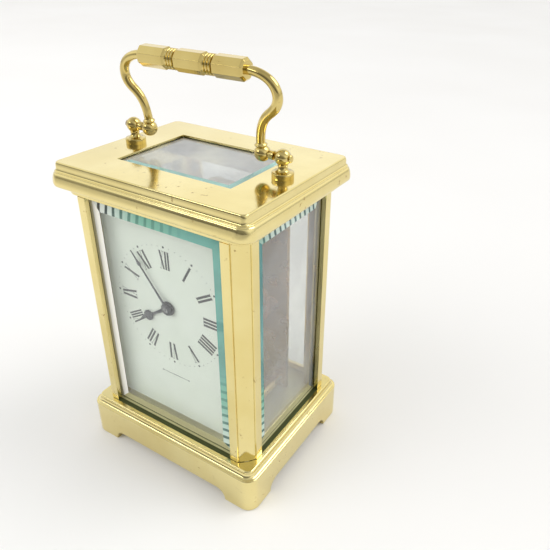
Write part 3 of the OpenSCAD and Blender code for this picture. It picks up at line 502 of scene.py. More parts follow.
def barred_bevel(name, axis, plain, faint, strong, places, pitch=3.8, solid=0.85):
    """Ground bevel crossed by painted reflections, light and dark bars. Along its axis it turns from
    plain to faintly and then to strongly barred. places holds where the plain stretch ends, where
    the faint bars are full and where the strong ones are, in millimetres."""
    n = Nodes(name)
    along = n.math("MULTIPLY", n.axes()[axis], 1 / MM)
    wobble = n.math("MULTIPLY", n.noise(120, 1), 1.2)
    # painted reflection: light and dark bars of the room seen in the bevel, painted by position along it
    wave = n.math("SINE", n.math("MULTIPLY", n.math("ADD", along, wobble), 2 * pi / pitch))
    bar = n.fit(wave, 0.1, 0.7, 0.0, 1.0)

    def rise(a, b):
        if a < b:
            return n.fit(along, a, b, 0.0, 1.0)
        return n.fit(along, b, a, 1.0, 0.0)

    # the plain colour is partly the glass's own green and partly painted shade of the dark case behind
    patchy = n.mix(n.fit(n.noise(60, 2), 0.3, 0.7, 0.0, 1.0), plain,
                   tuple(c * 1.3 for c in plain))
    tone = n.mix(rise(places[0], places[1]), patchy, n.mix(bar, *faint))
    tone = n.mix(rise(places[1], places[2]), tone, n.mix(bar, *strong))
    return bevel_shader(n, tone, solid)


def striped_bevel(name, axis, start, reach, stripes, solid=0.85):
    """Ground bevel with painted reflections as stripes along it: [distance from start, colour], in millimetres."""
    n = Nodes(name)
    along = n.math("MULTIPLY", n.axes()[axis], 1 / MM)
    wobble = n.math("MULTIPLY", n.math("SUBTRACT", n.noise(90, 2), 0.5), 0.25)
    across = n.math("ADD", along, wobble)
    fac = n.math("DIVIDE", n.math("SUBTRACT", across, start), reach)
    # painted reflections: each stripe is a colour that the bevel would show of the parts around it
    tone = n.ramp(fac, [(at / reach, colour) for at, colour in stripes])
    return bevel_shader(n, tone, solid)


def edge_material():
    """Sawn glass edge: dark bottle green."""
    n = Nodes("pane_edge")
    tone = n.ramp(n.noise(300, 3), [(0.3, (0.02, 0.09, 0.06)), (0.7, (0.05, 0.17, 0.11))])
    return n.done(n.principled(Base_Color=tone, Roughness=0.3, IOR=1.5))


def sill_material():
    """Satin olive brass under the movement, with painted shade, a dark green band, in the crevice in front of the
    glasses.
    """
    n = Nodes("sill_brass")
    place = n.axes()
    # painted shade: a dark green band on the sill just inside the glasses, where shade falls in the crevice
    shade_w, fade = 2.2, 0.3
    shade_edge = SILL + shade_w
    out_x = n.math("SUBTRACT", n.math("ABSOLUTE", place[0]), (BASE_HIGH.x - shade_edge) * MM)
    out_y = n.math("SUBTRACT", n.math("ABSOLUTE", place[1]), (BASE_HIGH.y - shade_edge) * MM)
    out = n.math("MAXIMUM", out_x, out_y)
    painted_crevice_shade = n.fit(out, 0.0, fade * MM, 0.0, 1.0)
    olive = n.ramp(n.noise(40, 3), [(0.3, (0.80, 0.75, 0.46)), (0.7, (0.70, 0.65, 0.36))])
    tone = n.mix(painted_crevice_shade, olive, (0.07, 0.085, 0.03))
    return n.done(n.principled(Base_Color=tone, Metallic=0.4, Roughness=0.45))


def floor_material():
    """Pale paper that fades to grey behind the viewer."""
    n = Nodes("pale_floor")
    tone = n.ramp(n.noise(3, 2), [(0.3, (0.86, 0.85, 0.84)), (0.7, (0.89, 0.885, 0.88))])
    grey_y, pale_y = -0.55, -0.15
    near = n.fit(n.axes()[1], grey_y, pale_y, 0.0, 1.0)
    return n.done(n.principled(Base_Color=n.mix(near, (0.48, 0.475, 0.47), tone), Roughness=0.7))


CASE_BRASS = brass_material(
    "case_brass_polish", (0.83, 0.715, 0.335), (0.77, 0.64, 0.265), 0.08, 0.09, 0.67
)
HANDLE_BRASS = brass_material(
    "handle_brass_polish", (0.69, 0.55, 0.20), (0.61, 0.46, 0.145), 0.08, 0.08, 0.7
)
PLATE_BRASS = gilt_material("gilt_plates", (0.86, 0.64, 0.27), (0.81, 0.58, 0.22), 0.24)
WHEEL_BRASS = gilt_material("brass_wheels", (0.92, 0.66, 0.24), (0.82, 0.53, 0.15), 0.16)
STEEL = steel_material("polished_steel", (0.62, 0.62, 0.61), (0.48, 0.48, 0.48), 0.16)
BLUED = steel_material("blued_steel_polish", (0.12, 0.125, 0.135), (0.045, 0.05, 0.058), 0.26)
ENAMEL = enamel_material()
PRINT = print_material()
RUBY = ruby_material()
# The grey film on every pane is partly dust and partly a painted reflection of the bright room; the side panes
# carry more of it and the top pane most.
GLASS = glass_material("pane_glass", (0.96, 0.985, 0.97), (0.985, 1.0, 0.99), 0.01, 0.05)
DUST_AND_SHEEN_GLASS = glass_material("pane_dust_and_sheen", (0.84, 0.87, 0.87), (0.90, 0.92, 0.92), 0.12, 0.30)
HEAVY_DUST_AND_SHEEN_GLASS = glass_material("pane_heavy_dust_and_sheen", (0.86, 0.89, 0.88), (0.92, 0.94, 0.93), 0.34, 0.54)
GLASS_EDGE = edge_material()
SILL_BRASS = sill_material()
# Bevel colours: the first is partly the glass's own green tint and partly painted shade of the dark case behind
# it; the pairs of bars are painted reflections, light and dark.
SEA_GREEN_TINT_AND_SHADE = (0.11, 0.34, 0.30)
FAINT_REFLECTED_BARS = ((0.17, 0.50, 0.38), (0.07, 0.29, 0.22))
PALE_REFLECTED_BARS = ((0.70, 0.86, 0.80), (0.06, 0.14, 0.14))
BRIGHT_REFLECTED_BARS = ((0.86, 0.92, 0.88), (0.02, 0.02, 0.03))
NO_BARS = (200, 300, 400)  # places that lie beyond every pane, so that the bevel stays plain

SLOT_LOOKS = {
    "case_brass": CASE_BRASS,
    "bevelled_glass": GLASS,
    "enamel": ENAMEL,
    "movement_brass": PLATE_BRASS,
    "wheel_brass": WHEEL_BRASS,
    "steel": STEEL,
    "blued_steel": BLUED,
    "ruby": RUBY,
}


def dress_frame():
    """Gives every CAD node the look of its slot."""
    for node, piece in NODES.items():
        for slot in piece.material_slots:
            slot.material = SLOT_LOOKS[SLOT_OF[node]]


# ---------- case ----------


def arch_height(x, half):
    """Height of the cut between two feet at a distance x from the middle."""
    flat = half - ARCH_H
    if abs(x) <= flat:
        return ARCH_H
    if abs(x) >= half:
        return 0.0
    return sqrt(ARCH_H ** 2 - (abs(x) - flat) ** 2)


def arch_stops(half):
    """Places along an edge where the arch changes, from left to right."""
    right = [half - ARCH_H + ARCH_H * cos(radians(a)) for a in range(0, 91, 10)]
    return [-x for x in right] + list(reversed(right))


def base_moulding():
    """Plain face, fine bead, broad cove and rounded upper edge, with arches between the feet."""
    half_x, half_y = BASE_HIGH.x, BASE_HIGH.y
    wall, floor = 4.5, 5.5
    front, side = arch_stops(FRONT_ARCH), arch_stops(SIDE_ARCH)

    def lift(x, y):
        if abs(y) > half_y - CORNER_R:
            return arch_height(x, FRONT_ARCH)
        return arch_height(y, SIDE_ARCH)

    lifts = [lift(x, y) for x, y in plan(half_x, half_y, CORNER_R, front, side)]

    def loop(d, z, follow=False, r=None):
        ring = plan(half_x - d, half_y - d, (CORNER_R - d) if r is None else r, front, side)
        return [(x, y, z + (h if follow else 0)) for (x, y), h in zip(ring, lifts)]

    loops = [loop(wall, BASE_TOP - floor, r=0.6), loop(wall, 0.0, True, r=0.6)]
    loops += [loop(0.5 - 0.5 * sin(radians(a)), 0.5 - 0.5 * cos(radians(a)), True)
              for a in range(0, 91, 30)]
    profile = [(0, 15.5), (0.03, 15.68), (0.12, 15.82), (0.24, 15.86), (0.3, 15.82),
               (0.42, 15.9)]
    profile += [(0.45 + 1.7 * sin(radians(a)), 18 - 2.02 * cos(radians(a)))
                for a in range(5, 91, 5)]
    profile += [(2.15, 18.2)]
    profile += [(2.9 - 0.75 * cos(radians(a)), 18.25 + 0.75 * sin(radians(a)))
                for a in range(0, 91, 10)]
    drawn_height = profile[-1][1]
    scale = BASE_TOP / drawn_height
    loops += [loop(d, z * scale) for d, z in profile]
    base = Solid().add(loft(loops, caps=False))
    n = len(loops[0])
    last = len(base.points) - n
    inner = [(x, y, BASE_TOP) for x, y in plan(half_x - SILL, half_y - SILL, SILL_R, front, side)]
    base.points += inner
    base.faces += [(last + k, last + (k + 1) % n, last + n + (k + 1) % n, last + n + k)
                   for k in range(n)]
    base.faces += [tuple(range(last + n, last + 2 * n)), tuple(reversed(range(n)))]
    base.index += [0] * n + [1, 0]
    new_object("base_moulding", base, [CASE_BRASS, SILL_BRASS], "case", replaced=["base"],
               slot="case_brass")


def top_moulding():
    """Flared neck, overhanging rounded fascia, small bead and a set-back slab with a window."""
    half_x, half_y = TOP_HIGH.x, TOP_HIGH.y
    glass_x, glass_y = TOP_GLASS_HIGH.x, TOP_GLASS_HIGH.y
    window_x, window_y = glass_x - WINDOW_LEDGE, glass_y - WINDOW_LEDGE
    ledge_z = TOP_GLASS_HIGH.z
    window_r, rim, glass_gap = 0.25, 0.2, 0.2

    def loop(d, z, r):
        return [(x, y, z) for x, y in plan(half_x - d, half_y - d, r)]

    def opening(x, y, z):
        return [(u, v, z) for u, v in plan(x, y, window_r)]

    neck = [(3.85, 0), (3.7, 0.15), (3.7, 1.2), (3.66, 1.7), (3.52, 2.15), (3.3, 2.5),
            (3.0, 2.78), (2.7, 2.93)]
    fascia = [(1.1, 3), (0.75, 3.03), (0.5, 3.13), (0.3, 3.3), (0.15, 3.55), (0.06, 3.95),
              (0, 4.4), (0.02, 4.9), (0.07, 5.4), (0.14, 5.9), (0.23, 6.4), (0.34, 6.85),
              (0.46, 7.2), (0.58, 7.5), (0.71, 7.74), (0.85, 7.9), (0.98, 7.96), (1.04, 8.06)]
    fascia += [(1.38 - 0.34 * cos(radians(a)), 8.3 + 0.34 * sin(radians(a)))
               for a in range(-30, 131, 20)]
    slab = [(1.72, 8.5), (1.85, 8.56), (1.98, 8.72), (2.1, 8.95), (2.17, 9.25), (2.2, 9.6),
            (2.21, 10.2), (2.25, 10.7), (2.32, 11.1), (2.41, 11.4), (2.53, 11.62), (2.68, 11.76),
            (2.85, 11.8)]
    drawn_height = slab[-1][1]
    scale = (TOP_Z - PILLAR_TOP) / drawn_height
    loops = [loop(d, PILLAR_TOP + z * scale, NECK_R) for d, z in neck]
    loops += [loop(d, PILLAR_TOP + z * scale, CORNER_R - d * 0.8) for d, z in fascia]
    loops += [loop(d, PILLAR_TOP + z * scale, SLAB_R) for d, z in slab]
    loops += [opening(window_x + rim, window_y + rim, TOP_Z),
              opening(window_x + 0.06, window_y + 0.06, TOP_Z - 0.06),
              opening(window_x, window_y, TOP_Z - rim),
              opening(window_x, window_y, ledge_z),
              opening(glass_x + glass_gap, glass_y + glass_gap, ledge_z),
              opening(glass_x + glass_gap, glass_y + glass_gap, PILLAR_TOP)]
    single("top_moulding", loft(loops, closed=True), CASE_BRASS, "case",
           replaced=["top_plate"], slot="case_brass")


def pillar_outline(front):
    """One pillar seen from above: u inwards along X and v inwards along Y from its corner.
    A fine quirk is cut at the foot of each step beside the slightly rounded cant."""
    c, w, s = PILLAR_CANT, PILLAR_W, CANT_STEP
    recess, groove, deep, quirk = GLASS_RECESS - 0.1, 2.6, 1.5, 0.22
    corners = [(c, 0), (w, 0)]
    if front:
        corners += [(w, recess), (w - deep, recess), (w - deep, recess + groove),
                    (w, recess + groove)]
    corners += [(w, w), (recess + groove, w), (recess + groove, w - deep), (recess, w - deep),
                (recess, w), (0, w), (0, c), (s + quirk, c)]
    bulge = 0.3
    for k in range(9):
        t = k / 8
        out = bulge * 4 * t * (1 - t) / sqrt(2)
        run = (c - s - quirk) * t
        corners.append((s + run - out, c - quirk - run - out))
    corners.append((c, s + quirk))
    return fillet(corners, 0.12)


def pillar_post(side, depth, node):
    """Canted, stepped corner pillar with a fine shadow line at its foot and head."""
    low, high = box_mm(node)
    z0, z1 = BASE_TOP, PILLAR_TOP
    corner = Vector((high.x if side > 0 else low.x, high.y if depth > 0 else low.y))
    outline = [(corner.x - side * u, corner.y - depth * v)
               for u, v in pillar_outline(depth < 0)]
    if side * depth < 0:
        outline.reverse()
    joint = 0.25
    stops = [(joint, z0 - 0.3), (joint, z0 + 0.16), (0.08, z0 + 0.2), (0, z0 + 0.34),
             (0, z1 - 0.34), (0.08, z1 - 0.2), (joint, z1 - 0.16), (joint, z1 + 0.3)]
    loops = [[(x, y, z) for x, y in inset(outline, d)] for d, z in stops]
    single(node + "_cast", loft(loops), CASE_BRASS, "case", replaced=[node], slot="case_brass")


def case_pillars():
    """A post at each corner."""
    for side, x_name in ((-1, "left"), (1, "right")):
        for depth, y_name in ((-1, "front"), (1, "rear")):
            pillar_post(side, depth, f"pillar_{y_name}_{x_name}")


# ---------- glass ----------


def pane(name, node, axes, bevel, flat, bevels):
    """Bevelled pane filling a node's box. axes are the indices of across, up and outwards,
    the last with its sign. flat is the material of its faces, and bevels are those of the low,
    far, high and near bevels."""
    low, high = box_mm(node)
    across, up, (out, sign) = axes
    back = low[out] if sign > 0 else high[out]
    face = high[out] if sign > 0 else low[out]
    thick = abs(face - back)

    def corner(u, v, depth):
        p = [0, 0, 0]
        p[across], p[up], p[out] = u, v, back + sign * depth
        return tuple(p)

    def ring(d, depth):
        return [corner(low[across] + d, low[up] + d, depth),
                corner(high[across] - d, low[up] + d, depth),
                corner(high[across] - d, high[up] - d, depth),
                corner(low[across] + d, high[up] - d, depth)]

    arris = 0.15
    rings = [ring(arris, 0), ring(0, arris), ring(0, GLASS_EDGE_T), ring(bevel, thick)]
    solid = Solid().add(loft(rings))
    solid.index = [1] * 8 + [2, 3, 4, 5] + [0] * 2  # sawn edge, four bevels, back and front
    new_object(name, solid, [flat, GLASS_EDGE] + bevels, "case", replaced=[node],
               slot="bevelled_glass", sharp=5)


def case_glass():
    """The four case panes. Their bevels carry painted reflections: the colours that the parts around them throw
    in.
    """
    z_low, z_high = FRONT_LOW.z, FRONT_HIGH.z
    x_low, x_high = FRONT_LOW.x, FRONT_HIGH.x
    low_mid = z_low + 0.35 * (z_high - z_low)
    bevel = BEVEL_W + PANE_TUCK
    # painted reflections: the colours below stand for what each bevel shows of the parts around it
    olive, painted_shade_green = (0.66, 0.62, 0.36), (0.045, 0.085, 0.025)
    # low bevel: painted shade, dark green, at the glass's foot, then the olive sill that it looks onto
    sill = striped_bevel("bevel_low", 2, z_low, bevel, [
        (0.0, painted_shade_green), (1.5, painted_shade_green), (1.9, olive), (5.9, olive)])
    # side bevel of the front pane: the pillar, a dark line, then a painted white reflection of a bright window
    flank = striped_bevel("bevel_pale", 0, x_low, bevel, [
        (1.3, (0.66, 0.67, 0.54)), (1.55, (0.62, 0.62, 0.52)), (1.7, (0.48, 0.47, 0.42)),
        (1.95, (0.97, 0.98, 0.96)), (5.9, (1.0, 1.0, 0.98))], solid=0.97)
    tall_front = barred_bevel("bevel_tall", 2, SEA_GREEN_TINT_AND_SHADE, FAINT_REFLECTED_BARS, PALE_REFLECTED_BARS,
                              (low_mid + 8, low_mid - 4, z_low + 5))
    wide_front = barred_bevel("bevel_wide", 0, SEA_GREEN_TINT_AND_SHADE, FAINT_REFLECTED_BARS, BRIGHT_REFLECTED_BARS,
                              (x_high * 0.55, x_low * 0.1, x_low * 0.85))
    wide_side = barred_bevel("bevel_side", 1, (0.16, 0.40, 0.40), FAINT_REFLECTED_BARS, PALE_REFLECTED_BARS,
                             (-x_high, x_low * 0.8, x_low * 0.3), pitch=3.2)
    tall_side = barred_bevel("bevel_side_tall", 2, (0.07, 0.25, 0.25), FAINT_REFLECTED_BARS, PALE_REFLECTED_BARS,
                             (low_mid, low_mid - 8, z_low + 4))
    grey = barred_bevel("bevel_grey", 2, (0.30, 0.33, 0.38), FAINT_REFLECTED_BARS, PALE_REFLECTED_BARS,
                        NO_BARS, solid=0.6)
    top_edge = barred_bevel("bevel_top", 0, (0.30, 0.54, 0.50), FAINT_REFLECTED_BARS, PALE_REFLECTED_BARS,
                            NO_BARS, solid=0.7)
    pane("front_pane", "front_glass", (0, 2, (1, -1)), bevel, GLASS,
         [sill, tall_front, wide_front, flank])
    pane("right_pane", "right_glass", (1, 2, (0, 1)), bevel, DUST_AND_SHEEN_GLASS,
         [sill, grey, wide_side, tall_side])
    pane("left_pane", "left_glass", (1, 2, (0, -1)), bevel, DUST_AND_SHEEN_GLASS,
         [sill, grey, wide_side, tall_side])
    pane("top_pane", "top_glass", (0, 1, (2, 1)), TOP_BEVEL_W + WINDOW_LEDGE, HEAVY_DUST_AND_SHEEN_GLASS,
         [top_edge, top_edge, HEAVY_DUST_AND_SHEEN_GLASS, HEAVY_DUST_AND_SHEEN_GLASS])


# ---------- handle ----------

LEAN = atan2(PIVOT.y - (GRIP_LOW.y + GRIP_HIGH.y) / 2, (GRIP_LOW.z + GRIP_HIGH.z) / 2 - PIVOT.z)
HANDLE_AT = Matrix.Translation(PIVOT) @ Matrix.Rotation(LEAN, 4, "X")
HANDLE_R = ((GRIP_LOW.z + GRIP_HIGH.z) / 2 - PIVOT.z) / cos(LEAN)
ALONG_X = Matrix.Rotation(pi / 2, 4, "Y")
GRIP_HALF = GRIP_HIGH.x
GRIP_R = 3.85
RING_AT = 8.0
RING_HALF = 1.8
BALL_R = 2.9
ARM_R = 1.75


def octagon(r, x):
    """Octagonal section of the grip at x, its corners slightly rounded."""
    corners = [(r * cos(radians(22.5 + 45 * k)), r * sin(radians(22.5 + 45 * k)))
               for k in range(8)]
    return [(x, u, v) for u, v in fillet(corners, 0.22)]


def octagon_length(x0, x1):
    """One faceted length of the grip, with chamfered ends."""
    chamfer = 0.75
    stops = [(x0, GRIP_R - 0.85), (x0 + 0.08, GRIP_R - 0.72), (x0 + chamfer, GRIP_R - 0.04),
             (x0 + chamfer + 0.12, GRIP_R), (x1 - chamfer - 0.12, GRIP_R),
             (x1 - chamfer, GRIP_R - 0.04), (x1 - 0.08, GRIP_R - 0.72), (x1, GRIP_R - 0.85)]
    return loft([octagon(r, x) for x, r in stops])


def ring_group():
    """Turned joint between two lengths of the grip: three rings with grooves between."""
    ring, half, groove = 3.5, 0.42, 2.75
    profile = [(groove, -RING_HALF - 0.3), (groove, -RING_HALF + 0.1)]
    for at in (-1.2, 0, 1.2):
        profile += [(ring - half + half * cos(radians(a)), at + half * sin(radians(a)))
                    for a in range(-90, 91, 30)]
        if at < 1:
            profile.append((groove + 0.1, at + 0.6))
    profile += [(groove, RING_HALF - 0.1), (groove, RING_HALF + 0.3)]
    return revolve(profile)


def handle_grip():
    """Three octagonal lengths with a turned joint between each two."""
    grip = Solid()
    lift = HANDLE_AT @ Matrix.Translation((0, 0, HANDLE_R))
    edge = RING_AT + RING_HALF
    for x0, x1 in ((-GRIP_HALF, -edge), (-RING_AT + RING_HALF, RING_AT - RING_HALF),
                   (edge, GRIP_HALF)):
        grip.add(octagon_length(x0, x1), lift)
    for s in (-1, 1):
        grip.add(ring_group(), lift @ Matrix.Translation((s * RING_AT, 0, 0)) @ ALONG_X)
    new_object("grip", grip, [HANDLE_BRASS], "handle", replaced=["handle_grip"],
               slot="case_brass", sharp=28)


# Centre line of an arm: [x, height above the pivot]
ARM_CURVES = [
    [(25.1, 2), (25.1, 9.4), (27, 12.2), (29.6, 14.2)],
    [(29.6, 14.2), (31.4, 15.6), (32.9, 17.2), (32.85, 19.8)],
    [(32.85, 19.8), (32.8, 24.2), (28, 27), (22.3, 27)],
]


def sphere_profile(r):
    """Half circle that turns into a ball."""
    return [(r * cos(radians(a)), r * sin(radians(a))) for a in range(-90, 91, 6)]


def handle_arm(s, name):
    """Swept arm with a collar and a ball at its foot, and the spacer to the post."""
    path = [p for curve in ARM_CURVES for p in bezier(curve, 14)] + [ARM_CURVES[2][3]]
    thick = [ARM_R - 0.2 * cos(pi * i / (len(path) - 1)) ** 2 for i in range(len(path))]
    arm = Solid()
    mirrored = HANDLE_AT @ Matrix.Diagonal((s, 1, 1, 1))
    arm.add(sweep(path, thick), mirrored)
    arm.add(revolve(sphere_profile(BALL_R)), mirrored @ Matrix.Translation((BALL_X, 0, 0)))
    collar = [(1.3, 2.2), (1.85, 2.45), (2.1, 2.7), (2.2, 2.95), (2.1, 3.2), (1.8, 3.4),
              (1.6, 3.7), (1.4, 4.3)]
    collar_x = 25.15
    arm.add(revolve(collar), mirrored @ Matrix.Translation((collar_x, 0, 0)))
    spacer = [(1.0, -0.4), (1.6, -0.2), (1.6, 2.2), (1.35, 2.6), (1.6, 3.0), (1.6, 4.9),
              (1.0, 5.0)]
    arm.add(revolve(spacer), mirrored @ Matrix.Translation((BALL_X, 0, 0)) @ ALONG_X)
    new_object(name + "_swept", arm, [HANDLE_BRASS], "handle", replaced=[name],
               slot="case_brass", sharp=40)


def post_profile():
    """Turned post: drum foot, flare, slim neck and ball, from the top plate up."""
    height = PIVOT.z - TOP_Z
    ball = 2.85
    profile = [(0, -0.4), (3.7, -0.4), (3.85, 0.05), (3.85, 1.7), (3.78, 1.92), (3.6, 2.05),
               (3.3, 2.1)]
    profile += [(2.8, 2.16), (2.35, 2.36), (1.98, 2.7), (1.74, 3.1), (1.6, 3.5), (1.55, 3.8),
                (1.75, 4.0), (1.8, 4.15), (1.65, 4.35)]
    profile += [(ball * cos(radians(a)), height + ball * sin(radians(a)))
                for a in range(-54, 91, 6)]
    return profile


def handle_posts():
    """The two turned posts that carry the handle."""
    posts = Solid()
    for s in (-1, 1):
        posts.add(revolve(post_profile()), Matrix.Translation((s * POST_X, 0, TOP_Z)))
    new_object("turned_posts", posts, [HANDLE_BRASS], "case", replaced=["handle_posts"],
               slot="case_brass", sharp=40)


def pivot_rivets():
    """Low domed heads of the handle's pivots, on the outside of the posts."""
    head_x = box_mm("handle_pivot_screws")[1].x - 0.45
    rivets = Solid()
    head = [(0, -0.6), (0.85, -0.6), (1.0, -0.35), (1.25, -0.3), (1.32, -0.15), (1.2, 0.05),
            (0.9, 0.22), (0.5, 0.32), (0, 0.35)]
    for s in (-1, 1):
        at = HANDLE_AT @ Matrix.Diagonal((s, 1, 1, 1)) @ Matrix.Translation((head_x, 0, 0))
        rivets.add(revolve(head), at @ ALONG_X)
    new_object("pivot_rivets", rivets, [HANDLE_BRASS], "handle",
               replaced=["handle_pivot_screws"], slot="case_brass")


# ---------- rear door ----------


def door_leaf():
    """Mitred frame with softened edges, whose inner edge runs over the rim of its glass."""
    y0, y1 = DOOR_LOW.y, DOOR_HIGH.y
    bar = 3.6
    soft = 0.35
    section = [(soft, y0), (0, y0 + soft), (0, y1 - soft), (soft * 0.3, y1 - soft * 0.3),
               (soft, y1), (bar - 0.9, y1), (bar - 0.25, y1 - 0.45), (bar, y1 - 0.55),
               (bar, y0 + 0.25), (bar - 0.25, y0)]

    def loop(d, y):
        return [(DOOR_LOW.x + d, y, DOOR_LOW.z + d), (DOOR_HIGH.x - d, y, DOOR_LOW.z + d),
                (DOOR_HIGH.x - d, y, DOOR_HIGH.z - d), (DOOR_LOW.x + d, y, DOOR_HIGH.z - d)]

    single("door_leaf", loft([loop(d, y) for d, y in section], closed=True), CASE_BRASS,
           "door", replaced=["door_frame"], slot="case_brass", sharp=25)


def door_pull():
    """Small turned knob on the door's free edge."""
    low, high = box_mm("door_knob")
    y = DOOR_HIGH.y
    profile = [(0, -0.5), (1.5, -0.5), (1.6, -0.1), (1.6, 0.3), (1.45, 0.45), (0.95, 0.8),
               (0.8, 1.1), (0.82, 1.5)]
    profile += [(0.5 + 1.3 * cos(radians(a)), 2.55 + 1.05 * sin(radians(a)))
                for a in range(-70, 91, 10)] + [(0, 3.6)]
    at = Matrix.Translation(((low.x + high.x) / 2, y, (low.z + high.z) / 2))
    knob = Solid().add(revolve(profile), at @ Matrix.Rotation(-pi / 2, 4, "X"))
    new_object("door_pull", knob, [CASE_BRASS], "door", replaced=["door_knob"],
               slot="case_brass")


# ---------- dial and hands ----------

NUMERALS = ["XII", "I", "II", "III", "IIII", "V", "VI", "VII", "VIII", "IX", "X", "XI"]
NUMERAL_H = 7.4
NUMERAL_IN = 16.3
MINUTES_R = 25.3
INK_T = 0.03
THICK, THIN, SERIF = 0.92, 0.16, 0.14


def bar(x0, y0, x1, y1, width):
    """Slanted stroke with level ends."""
    h = width / 2
    return [(x0 - h, y0), (x0 + h, y0), (x1 + h, y1), (x1 - h, y1)]


def glyph(letter):
    """Strokes of one narrow Roman letter about x = 0, and its width."""
    top = NUMERAL_H
    reach = 0.85
    if letter == "I":
        feet = [bar(0, z, 0, z + SERIF, 1.2) for z in (0, top - SERIF)]
        return [bar(0, 0, 0, top, THICK)] + feet, 1.42
    if letter == "V":
        feet = [bar(x, top - SERIF, x, top, 1.1) for x in (-reach, reach)]
        return [bar(0.15, 0, -reach, top, THICK), bar(0.15, 0, reach, top, THIN)] + feet, 2.7
    feet = [bar(s * reach, z, s * reach, z + SERIF, 1.1)
            for s in (-1, 1) for z in (0, top - SERIF)]
    return [bar(reach, 0, -reach, top, THICK), bar(-reach, 0, reach, top, THIN)] + feet, 2.8


def ink(solid, outline, angle, radius):
    """Adds a printed shape, with its own up pointing away from the hands' centre."""
    out = Vector((sin(angle), cos(angle)))
    along = Vector((cos(angle), -sin(angle)))
    loops = []
    for depth in (0.01, -INK_T):
        loops.append([
            (HANDS.x + (along * u + out * (radius + v)).x, DIAL_Y + depth,
             HANDS.z + (along * u + out * (radius + v)).y)
            for u, v in outline
        ])
    solid.add(loft(loops))


def dial_numerals():
    """The twelve hours, each with its foot towards the centre."""
    print_work = Solid()
    for hour, word in enumerate(NUMERALS):
        letters = [glyph(letter) for letter in word]
        total = sum(width for _, width in letters)
        narrow = min(1, 4.9 / total) if word != "IIII" else 1.02
        x = -total / 2
        for strokes, width in letters:
            for stroke in strokes:
                shifted = [((u + x + width / 2) * narrow, v) for u, v in stroke]
                ink(print_work, shifted, radians(30 * hour), NUMERAL_IN)
            x += width
    new_object("dial_numerals", print_work, [PRINT], "case")


def minute_marks():
    """A small dot for every minute and a bold one for every fifth."""
    marks = Solid()
    for minute in range(60):
        r = 0.46 if minute % 5 == 0 else 0.17
        dot = [(r * cos(radians(a)), r * sin(radians(a))) for a in range(0, 360, 30)]
        ink(marks, dot, radians(6 * minute), MINUTES_R)
    new_object("minute_marks", marks, [PRINT], "case")


def dial_rule():
    """Plain ornamental line under the hour ring, with a tiny lozenge at each end."""
    rule = Solid()
    drop, half = -32.0, 6.6
    line = [(-half, -0.06), (0, -0.13), (half, -0.06), (half, 0.06), (0, 0.13), (-half, 0.06)]
    ink(rule, line, 0.0, drop)
    for s in (-1, 1):
        gem = [(s * half - 0.5, 0), (s * half, -0.32), (s * half + 0.5, 0), (s * half, 0.32)]
        ink(rule, gem, 0.0, drop)
    new_object("dial_rule", rule, [PRINT], "case")


def mirrored_outline(side):
    """Closed outline from the [half width, height] points of its right side."""
    left = [(-x, y) for x, y in reversed(side) if x > 0]
    return side + left


def hour_side():
    """Right side of the hour hand from its boss to its tip."""
    spade_at, spade = 12.7, 2.2
    side = [(0.85, 2.5), (0.6, 6.0), (0.45, 9.4), (0.62, 9.9), (0.42, 10.3)]
    side += [(spade * sin(radians(a)), spade_at - spade * cos(radians(a)))
             for a in range(20, 131, 12)]
    side += [(0.85, 14.9), (0.52, 15.9), (0.3, 16.9), (0.12, 17.6)]
    return side


def minute_side():
    """Right side of the minute hand from its boss to its tip."""
    spade_at, spade = 19.7, 0.82
    side = [(0.5, 2.0), (0.38, 8.0), (0.27, 18.0)]
    side += [(spade * sin(radians(a)), spade_at - spade * 1.25 * cos(radians(a)))
             for a in range(25, 151, 15)]
    side += [(0.24, 21.4), (0.17, 23.5), (0.09, 25.4)]
    return side


def hand_cap():
    """Domed collet that holds the hands."""
    low, high = box_mm("hand_collet")
    tall = high.y - low.y
    profile = [(0, 0), (2.35, 0), (2.5, 0.08), (2.45, 0.22), (2.2, 0.36), (1.8, 0.48),
               (1.3, 0.57), (0.9, 0.61), (0.85, 0.5), (0.45, 0.5), (0.4, tall), (0, tall)]
    at = Matrix.Translation((HANDS.x, high.y, HANDS.z)) @ Matrix.Rotation(pi / 2, 4, "X")
    new_object("hand_cap", Solid().add(revolve(profile), at), [BLUED], "centre",
               replaced=["hand_collet"], slot="blued_steel")


def clock_hand(name, node, side, eye, body):
    """Flat blued hand with softened edges, turned to where its CAD node points."""
    low, high = box_mm(node)
    reaches = [Vector((v.co.x, v.co.z)) / MM - Vector((HANDS.x, HANDS.z))
               for v in NODES[node].data.vertices]
    tip = max(reaches, key=lambda reach: reach.length)
    stand = Matrix.Translation((HANDS.x, high.y, HANDS.z))
    stand = stand @ Matrix.Rotation(atan2(tip.x, tip.y), 4, "Y")
    stand = stand @ Matrix.Rotation(pi / 2, 4, "X")
    hand = Solid()
    hand.add(slab(mirrored_outline(side), high.y - low.y, 0.1), stand)
    hand.add(slab(arc(0, 0, eye, 0, 345, 23), high.y - low.y, 0.12), stand)
    new_object(name, hand, [BLUED], body, replaced=[node], slot="blued_steel", sharp=40)


def dial_work():
    """The printing on the dial, and the hands in front of it."""
    hour_eye, minute_eye = 2.9, 2.2
    dial_numerals()
    minute_marks()
    dial_rule()
    clock_hand("hour_spade", "hour_hand", hour_side(), hour_eye, "hour")
    clock_hand("minute_spade", "minute_hand", minute_side(), minute_eye, "centre")
    hand_cap()


# ---------- setting ----------


